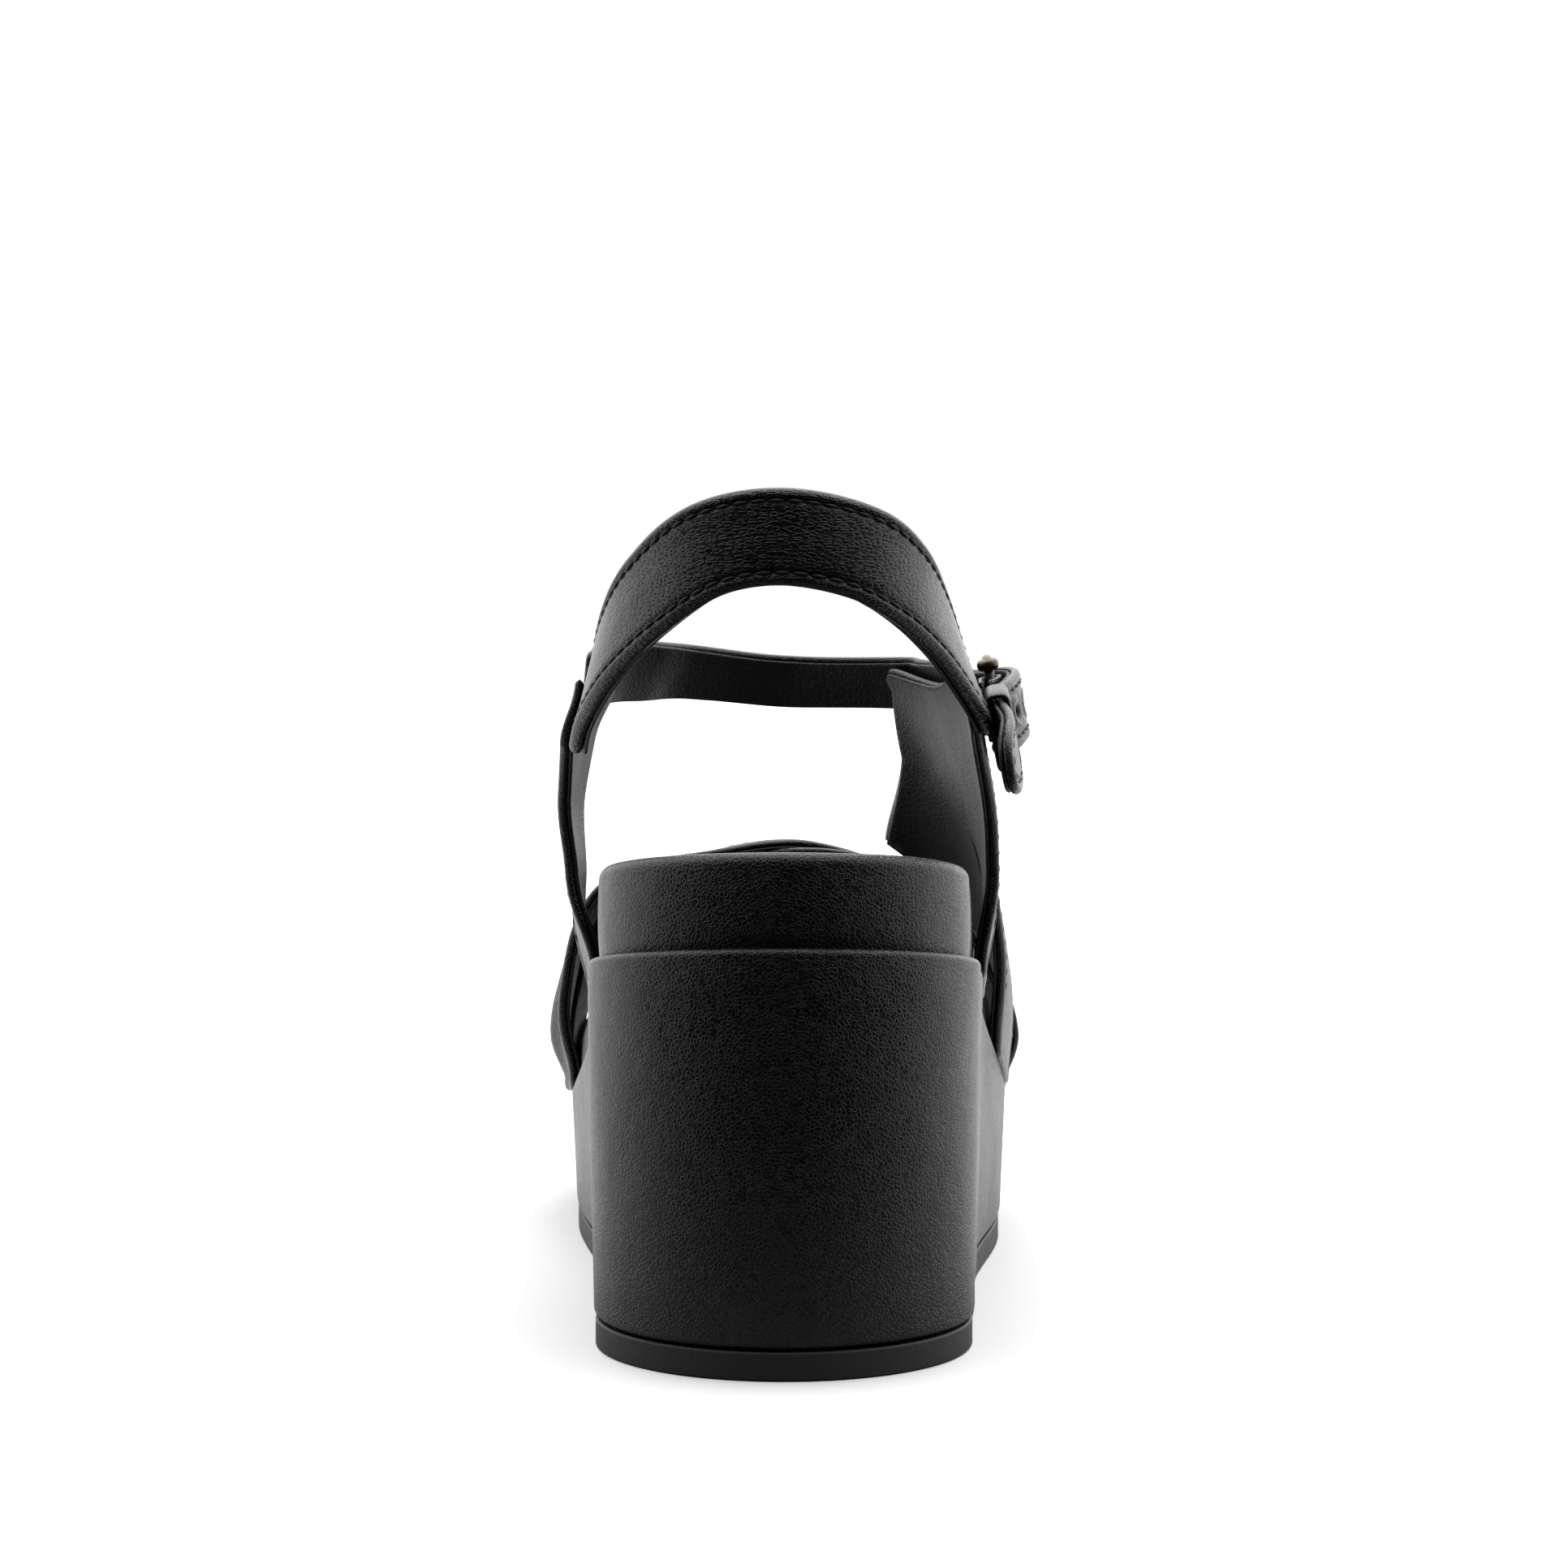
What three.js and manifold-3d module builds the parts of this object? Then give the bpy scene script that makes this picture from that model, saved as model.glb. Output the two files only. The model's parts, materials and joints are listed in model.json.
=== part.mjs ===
// A wedge sandal for the right foot, built as it comes apart on the bench.
// Millimetres, +Z up, +Y from the heel towards the toe, +X towards the little toe.
// The origin lies on the ground, under the middle of the heel.

import * as THREE from 'three';
import { mergeVertices } from 'three/addons/utils/BufferGeometryUtils.js';
import Module from 'manifold-3d';

const wasm = await Module();
wasm.setup();

// ---------------------------------------------------------------- driving dimensions

const gap = 0.3; // clearance between neighbouring pieces

// plan of the sole, as half widths on each side of the centre line
const shoeLength = 240;
const heelBackY = -34;
const toeY = heelBackY + shoeLength;
const heelHalfWidth = 33.5;
const heelRound = 33;
const waistY = 38;
const toeRound = 66;
const toeSquareness = 2.2;
const toeShift = -6;
const toeShiftStartY = 110;
const medial = { sign: -1, waist: 34, ball: 43.6, ballY: 120, bulge: 4.6, lean: 1.6 };
const lateral = { sign: 1, waist: 36, ball: 44.6, ballY: 106, bulge: 2.4, lean: 3.4 };

// side profile of the sole
const heelHeight = 70.4;
const heelSeatSlope = -0.155;
const heelSeatEndY = 20;
const platformHeight = 27.5;
const platformStartY = 124;
const toeSpring = 6;
const toeSpringStartY = 138;
const outsoleThickness = 4.8;
const outsoleInset = 1.6;

// wrapped wedge and footbed
const wrapThickness = 1.2;
const footbedInset = 2;
const footbedHeelThickness = 16;
const footbedToeThickness = 10.5;
const boardThickness = 2;
const sockThickness = 1.2;
const shank = { width: 12, thickness: 1.4, fromY: -18, toY: 88, rivetInset: 9, rivetRadius: 1.5 };
const tread = { width: 2.4, depth: 1.4, pitch: 9, fromY: 66, count: 10 };

// the foot that the upper is shaped on: an arch at every Y, widest near its base
const archPower = 2.3;
const bulgeRise = 18;
const ballBulge = 2;
const ballBulgeY = 100;
const leanStart = 24;
const leanSpan = 30;
const ankleRidge = [[-40, 259.6], [36, 102.6], [60, 60.6], [78, 42.6]].map(([y, z]) => [y, heelHeight + z]);
const toeRidge = [[107, 51.5], [140, 35.5], [175, 27.5], [210, 24.5]].map(([y, z]) => [y, platformHeight + z]);
const ridge = [...ankleRidge, ...toeRidge]; // height of the foot by Y

// leather
const liningThickness = 0.8;
const outerThickness = 1.2;
const liningLayer = [0, liningThickness];
const outerLayer = [liningThickness + gap, liningThickness + gap + outerThickness];
const upperThickness = outerLayer[1];

// heel strap
const heelStrapWidth = 15.8;
const heelStrapTopZ = heelHeight + 74;
const heelStrapFoam = 1;

// instep strap, buckle and keeper
const instepWidth = 12.4;
const instepHeight = heelHeight + 42.6;
const ankleRadius = 40; // how tightly the foot curves under the width of the strap
const chapeReach = 8;
const pin = { y: 31, z: heelHeight + 36.6, radius: 0.9, tilt: 1.4, slope: 0.08 };
const chapeLeather = 1;
const frameSection = 2;
const frameReach = 12.6;
const frameHalfHeight = instepWidth / 2 + gap + frameSection;
const prongWidth = 1.8;
const keeper = {
  y: 12,
  z: heelHeight + 33.1,
  length: 7,
  wall: 1.1,
  room: 0.7,
  lift: 0.4,
  tilt: 0.4,
  slope: 0.26,
};

// ---------------------------------------------------------------- curves of the shoe

const clamp01 = (t) => Math.min(1, Math.max(0, t));
const smooth = (t) => clamp01(t) ** 2 * (3 - 2 * clamp01(t));
const ease = (y, fromY, toY_, from, to) => from + (to - from) * smooth((y - fromY) / (toY_ - fromY));

function springAt(y) {
  return toeSpring * clamp01((y - toeSpringStartY) / (toeY - toeSpringStartY)) ** 2;
}

// Top of the wedge: a straight heel seat, then a smooth ramp down to the platform.
function wedgeTop(y) {
  const seatEndHeight = heelHeight + heelSeatSlope * (heelSeatEndY - heelBackY);
  if (y <= heelSeatEndY) {
    return heelHeight + heelSeatSlope * (y - heelBackY);
  }
  const span = platformStartY - heelSeatEndY;
  const t = clamp01((y - heelSeatEndY) / span);
  const start = (1 + 2 * t) * (1 - t) ** 2 * seatEndHeight;
  const slope = t * (1 - t) ** 2 * span * heelSeatSlope;
  return start + slope + t * t * (3 - 2 * t) * platformHeight + springAt(y);
}

function footbedThickness(y) {
  return ease(y, heelSeatEndY, platformStartY, footbedHeelThickness, footbedToeThickness);
}

function centreLine(y) {
  return ease(y, toeShiftStartY, toeY, 0, toeShift);
}

function halfWidth(side, y, inset) {
  const rear = ease(y, 0, waistY, heelHalfWidth, side.waist);
  const width = (y < waistY ? rear : ease(y, waistY, side.ballY, side.waist, side.ball)) - inset;
  const heelTurn = clamp01((heelBackY + heelRound - y) / (heelRound - inset));
  const toeTurn = clamp01((y - toeY + toeRound) / (toeRound - inset));
  return width * Math.sqrt(1 - heelTurn ** 2) * (1 - toeTurn ** toeSquareness) ** (1 / toeSquareness);
}

function edgePoint(side, y, inset, z) {
  return new THREE.Vector3(centreLine(y) + side.sign * halfWidth(side, y, inset), y, z);
}

// Height of the foot over the centre line, eased between the stations of the ridge.
const ridgeCurve = new THREE.SplineCurve(ridge.map(([y, z]) => new THREE.Vector2(y, z)));
const ridgeSamples = ridgeCurve.getPoints(200);

function ridgeAt(y) {
  const next = ridgeSamples.findIndex((sample) => sample.x >= y);
  const [before, after] = [ridgeSamples[next - 1], ridgeSamples[next]];
  return before.y + ((y - before.x) / (after.x - before.x)) * (after.y - before.y);
}

// ---------------------------------------------------------------- solids

function signedVolume(points, faces) {
  const turned = new THREE.Vector3();
  return faces.reduce((sum, [a, b, c]) => {
    turned.crossVectors(points[b], points[c]);
    return sum + points[a].dot(turned);
  }, 0);
}

function solidFrom(points, faces) {
  const outward = signedVolume(points, faces) > 0;
  const turned = outward ? faces : faces.map(([a, b, c]) => [a, c, b]);
  return new wasm.Manifold(new wasm.Mesh({
    numProp: 3,
    vertProperties: new Float32Array(points.flatMap((point) => point.toArray())),
    triVerts: new Uint32Array(turned.flat()),
  }));
}

function solidFromGeometry(geometry) {
  geometry.deleteAttribute('normal');
  geometry.deleteAttribute('uv');
  const merged = mergeVertices(geometry);
  return new wasm.Manifold(new wasm.Mesh({
    numProp: 3,
    vertProperties: merged.attributes.position.array,
    triVerts: new Uint32Array(merged.index.array),
  }));
}

const quad = (a, b, c, d) => [[a, b, c], [a, c, d]];

// A solid through closed rings of points around the sole; open stacks get a floor and a roof.
const soleSteps = 34;

function soleStations(inset) {
  const length = shoeLength - 2 * inset;
  const step = (index) => (1 - Math.cos((Math.PI * index) / soleSteps)) / 2;
  return Array.from({ length: soleSteps + 1 }, (_, index) => heelBackY + inset + length * step(index));
}

function soleRing({ inset, height }) {
  const stations = soleStations(inset);
  const inner = stations.slice(1, -1).reverse();
  const medialEdge = stations.map((y) => edgePoint(medial, y, inset, height(y)));
  return [...medialEdge, ...inner.map((y) => edgePoint(lateral, y, inset, height(y)))];
}

function soleRings(profile, closed) {
  const rings = profile.map(soleRing);
  const size = rings[0].length;
  const pairs = closed ? rings.length : rings.length - 1;
  const faces = [];
  for (let ring = 0; ring < pairs; ring += 1) {
    const low = ring * size;
    const high = ((ring + 1) % rings.length) * size;
    for (let i = 0; i < size; i += 1) {
      const next = (i + 1) % size;
      faces.push(...quad(low + i, high + i, high + next, low + next));
    }
  }
  return { points: rings.flat(), faces, size, rings: rings.length };
}

function soleBand(profile) {
  const { points, faces } = soleRings(profile, true);
  return solidFrom(points, faces);
}

function soleSlab(profile) {
  const { points, faces, size, rings } = soleRings(profile, false);
  const roof = (rings - 1) * size;
  for (let i = 0; i < soleSteps; i += 1) {
    const [left, leftNext] = [i, i + 1];
    const [right, rightNext] = [(size - i) % size, size - i - 1];
    faces.push(...quad(left, leftNext, rightNext, right));
    faces.push(...quad(roof + left, roof + right, roof + rightNext, roof + leftNext));
  }
  return solidFrom(points, faces.filter(([a, b, c]) => a !== b && b !== c && a !== c));
}

// A solid between an inner and an outer row of points at each station along its length. Both
// faces split their quads along the same diagonal, so that stacked layers stay parallel.
function layered(stations) {
  const count = stations[0].inner.length;
  const loop = 2 * count;
  const points = stations.flatMap(({ inner, outer }) => [...inner, ...outer.slice().reverse()]);
  const faces = [];
  for (let station = 0; station + 1 < stations.length; station += 1) {
    const near = station * loop;
    for (let i = 0; i < loop; i += 1) {
      const next = (i + 1) % loop;
      const corners = [near + i, near + next, near + loop + next, near + loop + i];
      const turned = i < count ? corners : [...corners.slice(1), corners[0]];
      faces.push(...quad(...turned));
    }
  }
  const last = (stations.length - 1) * loop;
  for (let i = 0; i + 1 < count; i += 1) {
    faces.push(...quad(i + 1, i, loop - 1 - i, loop - 2 - i));
    faces.push(...quad(last + i, last + i + 1, last + loop - 2 - i, last + loop - 1 - i));
  }
  return solidFrom(points, faces);
}

// ---------------------------------------------------------------- the foot's surface

function footPoint(y, angle) {
  const side = angle < Math.PI / 2 ? lateral : medial;
  const rise = (ridgeAt(y) - wedgeTop(y)) * Math.abs(Math.sin(angle)) ** (2 / archPower);
  const bulge = ease(y, waistY, ballBulgeY, side.bulge, ballBulge) * smooth(rise / bulgeRise);
  const waistline = halfWidth(side, y, footbedInset) + gap + bulge;
  const lean = side.lean * smooth((rise - leanStart) / leanSpan);
  const reach = (waistline - lean) * Math.abs(Math.cos(angle)) ** (2 / archPower);
  return new THREE.Vector3(centreLine(y) + side.sign * reach, y, wedgeTop(y) + rise);
}

function footNormal(y, angle) {
  const small = 0.02;
  const alongY = footPoint(y + 1, angle).sub(footPoint(y - 1, angle));
  const around = footPoint(y, angle + small).sub(footPoint(y, angle - small));
  const normal = around.cross(alongY).normalize();
  const outward = footPoint(y, angle).sub(new THREE.Vector3(centreLine(y), y, wedgeTop(y)));
  return normal.dot(outward) < 0 ? normal.negate() : normal;
}

// The angle around the arch at which the foot reaches a height on one side.
function angleAtHeight(side, y, z) {
  const share = clamp01((z - wedgeTop(y)) / (ridgeAt(y) - wedgeTop(y)));
  const angle = Math.asin(share ** (archPower / 2));
  return side === lateral ? angle : Math.PI - angle;
}

function onFoot(side, y, z, offset) {
  const angle = angleAtHeight(side, y, z);
  const normal = footNormal(y, angle);
  return { point: footPoint(y, angle).addScaledVector(normal, offset), normal };
}

const skirtDepth = 5;

// A shell of the foot between two angles and two stations, reaching down past the sole's edge.
function footShell({ fromY, toY: untilY, stepsY, fromAngle, toAngle, stepsAngle }, [inner, outer]) {
  const anglesOf = (index) => fromAngle + ((toAngle - fromAngle) * index) / stepsAngle;
  const row = (y, offset) => {
    const points = [];
    for (let index = 0; index <= stepsAngle; index += 1) {
      const angle = Math.min(Math.PI - 0.02, Math.max(0.02, anglesOf(index)));
      points.push(footPoint(y, angle).addScaledVector(footNormal(y, angle), offset));
    }
    return points;
  };
  const skirted = (points) => {
    const drop = new THREE.Vector3(0, 0, -skirtDepth);
    const head = fromAngle === 0 ? [points[0].clone().add(drop)] : [];
    const tail = toAngle === Math.PI ? [points.at(-1).clone().add(drop)] : [];
    return [...head, ...points, ...tail];
  };
  const stations = Array.from({ length: stepsY + 1 }, (_, index) => {
    const y = fromY + ((untilY - fromY) * index) / stepsY;
    return { inner: skirted(row(y, inner)), outer: skirted(row(y, outer)) };
  });
  return layered(stations);
}

// ---------------------------------------------------------------- straps

const edgeSoftness = 0.3; // share of a strap's thickness

// The eight corners of a strap's section: inner and outer rows with softened edges.
function strapRows(centre, across, normal, halfWidthMm, [inner, outer], softness) {
  const soft = (outer - inner) * softness;
  const at = (side, depth) => centre.clone().addScaledVector(across, side).addScaledVector(normal, depth);
  const edge = halfWidthMm;
  return {
    inner: [at(-edge, inner + soft), at(soft - edge, inner), at(edge - soft, inner), at(edge, inner + soft)],
    outer: [at(-edge, outer - soft), at(soft - edge, outer), at(edge - soft, outer), at(edge, outer - soft)],
  };
}

// A strap along a curve, lying on the side that the normals point away from.
function strap({ stops, width, steps, from = 0, to = 1, tip = 0 }, layer, grow = 0) {
  const line = new THREE.CatmullRomCurve3(stops.map((stop) => stop.point));
  const normals = new THREE.CatmullRomCurve3(stops.map((stop) => stop.normal));
  const grown = [layer[0] - grow, layer[1] + grow];
  const lengthMm = line.getLength();
  const stations = Array.from({ length: steps + 1 }, (_, index) => {
    const t = line.getUtoTmapping(from + ((to - from) * index) / steps);
    const tangent = line.getTangent(t);
    const normal = normals.getPoint(t);
    normal.addScaledVector(tangent, -normal.dot(tangent)).normalize();
    const across = new THREE.Vector3().crossVectors(tangent, normal).normalize();
    const left = (1 - index / steps) * (to - from) * lengthMm;
    const round = tip > 0 ? Math.sqrt(clamp01(1 - (clamp01(1 - left / tip) * 0.94) ** 2)) : 1;
    const softness = grow > 0 ? 0.001 : edgeSoftness;
    return strapRows(line.getPoint(t), across, normal, (width / 2) * round + grow, grown, softness);
  });
  return layered(stations);
}

// ---------------------------------------------------------------- materials

const material = (color, roughness, metalness = 0) => (
  new THREE.MeshStandardMaterial({ color, roughness, metalness })
);
const blackLeather = material(0x111214, 0.42);
const liningLeather = material(0x1a1a1c, 0.6);
const rubber = material(0x18181a, 0.8);
const cork = material(0xb08a5c, 0.95);
const foam = material(0xd8d3c4, 0.95);
const fibreboard = material(0x8a6f4e, 0.9);
const steel = material(0x9a9c9f, 0.35, 1);
const gunmetal = material(0x4a4642, 0.3, 1);

const sandal = new THREE.Group();

function addPart(name, solid, look, parent = sandal) {
  const mesh = solid.getMesh();
  const geometry = new THREE.BufferGeometry();
  geometry.setAttribute('position', new THREE.BufferAttribute(new Float32Array(mesh.vertProperties), 3));
  geometry.setIndex(new THREE.BufferAttribute(new Uint32Array(mesh.triVerts), 1));
  geometry.computeVertexNormals();
  const part = new THREE.Mesh(geometry, look);
  part.name = name;
  parent.add(part);
  return part;
}

// ---------------------------------------------------------------- sole

const ground = (y) => springAt(y);
const outsoleTop = (y) => springAt(y) + outsoleThickness;
const coreBottom = (y) => outsoleTop(y) + gap;
const coreInset = wrapThickness + gap;
const boardBottom = (y) => wedgeTop(y) + gap;
const boardTop = (y) => boardBottom(y) + boardThickness;
const footbedTop = (y) => wedgeTop(y) + footbedThickness(y);
const foamTop = (y) => footbedTop(y) - sockThickness - gap;
const footbedCoreInset = footbedInset + wrapThickness + gap;
const raised = (height, by) => (y) => height(y) + by;

function box(width, depth, height, x, y, z) {
  const geometry = new THREE.BoxGeometry(width, depth, height);
  geometry.translate(x, y, z);
  return solidFromGeometry(geometry);
}

function makeOutsole() {
  const slab = soleSlab([
    { inset: outsoleInset, height: ground },
    { inset: outsoleInset, height: outsoleTop },
  ]);
  const grooveLength = 2 * medial.ball - 24;
  let cut = slab;
  for (let i = 0; i < tread.count; i += 1) {
    const y = tread.fromY + i * tread.pitch;
    cut = cut.subtract(box(grooveLength, tread.width, 2 * (tread.depth + ground(y)), centreLine(y), y, 0));
  }
  return cut;
}

// The shank follows the top of the wedge, let into a groove of its own shape.
function shankBar(grow) {
  const steps = 16;
  const half = shank.width / 2 + grow;
  const fromY = shank.fromY - grow;
  const length = shank.toY - shank.fromY + 2 * grow;
  const stations = Array.from({ length: steps + 1 }, (_, index) => {
    const y = fromY + (length * index) / steps;
    const top = wedgeTop(y) - gap + grow;
    const low = wedgeTop(y) - gap - shank.thickness - grow;
    return {
      inner: [new THREE.Vector3(-half, y, low), new THREE.Vector3(half, y, low)],
      outer: [new THREE.Vector3(-half, y, top + grow), new THREE.Vector3(half, y, top + grow)],
    };
  });
  return layered(stations);
}

function makeWedgeCore() {
  const core = soleSlab([
    { inset: coreInset + 1, height: coreBottom },
    { inset: coreInset, height: raised(coreBottom, 3) },
    { inset: coreInset, height: (y) => wedgeTop(y) },
  ]);
  return core.subtract(shankBar(gap));
}

function makeWedgeWrap() {
  const bottom = raised(outsoleTop, gap);
  const turn = 2.4;
  return soleBand([
    { inset: 1.2, height: bottom },
    { inset: 0.3, height: raised(bottom, 1) },
    { inset: 0, height: raised(bottom, turn) },
    { inset: 0, height: (y) => wedgeTop(y) - 1 },
    { inset: 0.5, height: (y) => wedgeTop(y) },
    { inset: wrapThickness, height: (y) => wedgeTop(y) },
    { inset: wrapThickness, height: raised(bottom, turn) },
    { inset: wrapThickness + 0.7, height: bottom },
  ]);
}

function rivetSolid(y, radius, reach, above = 0) {
  const shaft = new THREE.CylinderGeometry(radius, radius, reach, 16);
  shaft.rotateX(Math.PI / 2);
  shaft.translate(0, 0, above - reach / 2);
  shaft.rotateX(Math.atan((wedgeTop(y + 1) - wedgeTop(y - 1)) / 2));
  shaft.translate(0, y, boardTop(y));
  return solidFromGeometry(shaft);
}

const rivetReach = boardThickness + shank.thickness + 0.6;
const rivetStations = [shank.toY - shank.rivetInset, shank.fromY + shank.rivetInset];

function cutRivetHoles(solid) {
  const drill = (work, y) => work.subtract(rivetSolid(y, shank.rivetRadius + gap, 20, 2));
  return rivetStations.reduce(drill, solid);
}

function makeFootbedWrap() {
  const bottom = raised(wedgeTop, gap);
  return soleBand([
    { inset: footbedInset, height: bottom },
    { inset: footbedInset, height: (y) => footbedTop(y) - 2.4 },
    { inset: footbedInset + 0.7, height: (y) => footbedTop(y) - 0.7 },
    { inset: footbedInset + 2.4, height: footbedTop },
    { inset: footbedInset + 3.6, height: footbedTop },
    { inset: footbedInset + 3.6, height: raised(foamTop, gap) },
    { inset: footbedInset + wrapThickness, height: raised(foamTop, gap) },
    { inset: footbedInset + wrapThickness, height: bottom },
  ]);
}

function addSole() {
  addPart('outsole', makeOutsole(), rubber);
  addPart('wedge_core', cutRivetHoles(makeWedgeCore()), cork);
  addPart('wedge_wrap', makeWedgeWrap(), blackLeather);
  addPart('shank', cutRivetHoles(shankBar(0)), steel);
  addPart('shank_rivet_front', rivetSolid(rivetStations[0], shank.rivetRadius, rivetReach), steel);
  addPart('shank_rivet_rear', rivetSolid(rivetStations[1], shank.rivetRadius, rivetReach), steel);
  const board = soleSlab([
    { inset: footbedCoreInset, height: boardBottom },
    { inset: footbedCoreInset, height: boardTop },
  ]);
  addPart('insole_board', cutRivetHoles(board), fibreboard);
  addPart('footbed_foam', soleSlab([
    { inset: footbedCoreInset, height: raised(boardTop, gap) },
    { inset: footbedCoreInset, height: foamTop },
  ]), foam);
  addPart('footbed_wrap', makeFootbedWrap(), blackLeather);
  addPart('sock_lining', soleSlab([
    { inset: footbedInset + 3.6 + gap, height: raised(foamTop, gap) },
    { inset: footbedInset + 3.6 + gap, height: footbedTop },
  ]), liningLeather);
}

// ---------------------------------------------------------------- upper

// Everything that the upper must stand clear of: the wedge below it and the footbed inside it.
const below = soleSlab([
  { inset: -12, height: () => -20 },
  { inset: -12, height: raised(wedgeTop, gap) },
]);
const footbedColumn = soleSlab([
  { inset: footbedInset - gap, height: raised(wedgeTop, -skirtDepth) },
  { inset: footbedInset - gap, height: raised(footbedTop, gap) },
]);
const clearOfSole = (solid) => solid.subtract(below).subtract(footbedColumn);

// A prism of an outline, drawn either looking from above (X, Y) or from the side (Y, Z).
function prismFromAbove(outline, curveSegments) {
  const geometry = new THREE.ExtrudeGeometry(outline, { depth: 400, bevelEnabled: false, curveSegments });
  geometry.translate(0, 0, -100);
  return solidFromGeometry(geometry);
}

function prismFromSide(outline, side, curveSegments) {
  const geometry = new THREE.ExtrudeGeometry(outline, { depth: 120, bevelEnabled: false, curveSegments });
  geometry.rotateX(Math.PI / 2);
  geometry.rotateZ(Math.PI / 2);
  geometry.translate(side === lateral ? 0 : -120, 0, 0);
  return solidFromGeometry(geometry);
}

// The lateral flap is a leaning X: a broad top, a waist, and two legs with an opening between them.
const lateralLegs = { rearY: 26, rearWidth: 20, frontY: 78, frontWidth: 22, apexY: 62 };
const lateralTop = {
  cornerY: 70.5,
  cornerZ: heelHeight + 43.4,
  crestY: 36,
  crestZ: heelHeight + 46.1,
  mergeY: 6,
  mergeZ: heelHeight + 40.1,
  rearZ: heelHeight + 33.6,
};
const lateralWaist = { y: 84, z: heelHeight + 26.6 };
const lateralKnee = { y: 102.5, z: platformHeight + 51.3 };

function lateralOutline() {
  const legs = lateralLegs;
  const top = lateralTop;
  const deep = platformHeight - skirtDepth;
  const apexZ = footbedTop(legs.apexY) + 21;
  const outline = new THREE.Shape();
  outline.moveTo(top.mergeY, top.rearZ);
  outline.quadraticCurveTo(legs.rearY - 1, top.rearZ - 12, legs.rearY, footbedTop(legs.rearY));
  outline.lineTo(legs.rearY, deep);
  outline.lineTo(legs.rearY + legs.rearWidth, deep);
  outline.lineTo(legs.rearY + legs.rearWidth, wedgeTop(legs.rearY));
  outline.quadraticCurveTo(legs.apexY - 12, apexZ - 12, legs.apexY, apexZ);
  outline.quadraticCurveTo(legs.apexY + 8, apexZ - 18, legs.frontY, wedgeTop(legs.frontY));
  outline.lineTo(legs.frontY, deep);
  outline.lineTo(legs.frontY + legs.frontWidth, deep);
  outline.quadraticCurveTo(lateralKnee.y + 2, lateralKnee.z - 11, lateralKnee.y, lateralKnee.z);
  outline.lineTo(lateralWaist.y, lateralWaist.z);
  outline.quadraticCurveTo(lateralWaist.y - 6, top.cornerZ - 8, top.cornerY, top.cornerZ);
  outline.quadraticCurveTo(top.crestY + 12, top.cornerZ - 5.3, top.crestY, top.crestZ);
  outline.quadraticCurveTo(top.crestY - 10, top.crestZ + 0.5, top.mergeY, top.mergeZ);
  return outline;
}

// The medial quarter is a single slanting strap, broader where it enters the sole.
const medialStrap = {
  footY: 27,
  footWidth: 34,
  topY: 16,
  topWidth: 30,
  topZ: heelHeight + 49.6,
  rearZ: heelHeight + 30.6,
};

function medialOutline() {
  const { footY, footWidth, topY, topWidth, topZ, rearZ } = medialStrap;
  const deep = platformHeight - skirtDepth;
  const outline = new THREE.Shape();
  outline.moveTo(topY, rearZ);
  outline.quadraticCurveTo(footY + 2, rearZ - 10, footY, footbedTop(footY) - 6);
  outline.lineTo(footY, deep);
  outline.lineTo(footY + footWidth, deep);
  outline.lineTo(footY + footWidth, wedgeTop(footY + footWidth));
  outline.quadraticCurveTo(footY + footWidth - 18, rearZ - 14, topY + topWidth, rearZ + 5);
  outline.lineTo(topY + topWidth, topZ);
  outline.lineTo(topY, topZ);
  return outline;
}

// The two vamp bands cross over the toes, each running forward from one side to the other.
const vampBand = { startY: 106, startWidth: 40, endY: 126, endWidth: 37, crownRear: 113, crownFront: 150 };

function vampOutline(side) {
  const reach = 70 * side.sign;
  const { startY, startWidth, endY, endWidth, crownRear, crownFront } = vampBand;
  const outline = new THREE.Shape();
  outline.moveTo(reach, startY);
  outline.lineTo(reach, startY + startWidth);
  outline.quadraticCurveTo(0, crownFront + 4, -reach, endY + endWidth);
  outline.lineTo(-reach, endY);
  outline.quadraticCurveTo(0, crownRear - 6, reach, startY);
  return outline;
}

const stackedLayer = ([inner, outer], by) => [inner + by, outer + by];
const sideShell = { fromY: 0, toY: 112, stepsY: 18, stepsAngle: 9 };
const lateralShell = { ...sideShell, fromAngle: 0, toAngle: 1.36 };
const medialShell = { ...sideShell, toY: 66, stepsY: 12, fromAngle: Math.PI - 0.9, toAngle: Math.PI };
const vampShell = { fromY: 96, toY: 168, stepsY: 10, fromAngle: 0, toAngle: Math.PI, stepsAngle: 20 };

// The heel strap runs level round the back of the heel and drops forward to each quarter.
function heelStrapStops() {
  const middleZ = heelStrapTopZ - heelStrapWidth / 2;
  const stop = (x, y, z, lean) => {
    const normal = new THREE.Vector3(x, (y - 8) * 0.9, 0).normalize();
    normal.z = lean;
    return { point: new THREE.Vector3(x, y, z), normal: normal.normalize() };
  };
  const rows = [
    [medial.sign * 33.8, 21, middleZ - 34, 0.24],
    [medial.sign * 31.4, 8, middleZ - 26.6, 0.28],
    [medial.sign * 27.6, -5.5, middleZ - 17.7, 0.25],
    [medial.sign * 21, -17, middleZ - 9.2, 0.14],
    [medial.sign * 11, -26.2, middleZ - 1.8, 0.04],
    [0, -28.6, middleZ, 0],
    [lateral.sign * 11.5, -25.5, middleZ - 3.2, 0.08],
    [lateral.sign * 17.2, -19.5, middleZ - 8.1, 0.2],
    [lateral.sign * 23, -9.5, middleZ - 15.3, 0.3],
    [lateral.sign * 29.4, 3.5, middleZ - 25.4, 0.3],
    [lateral.sign * 31.6, 9, middleZ - 29.8, 0.25],
  ];
  return rows.map((row) => stop(...row));
}

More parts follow.
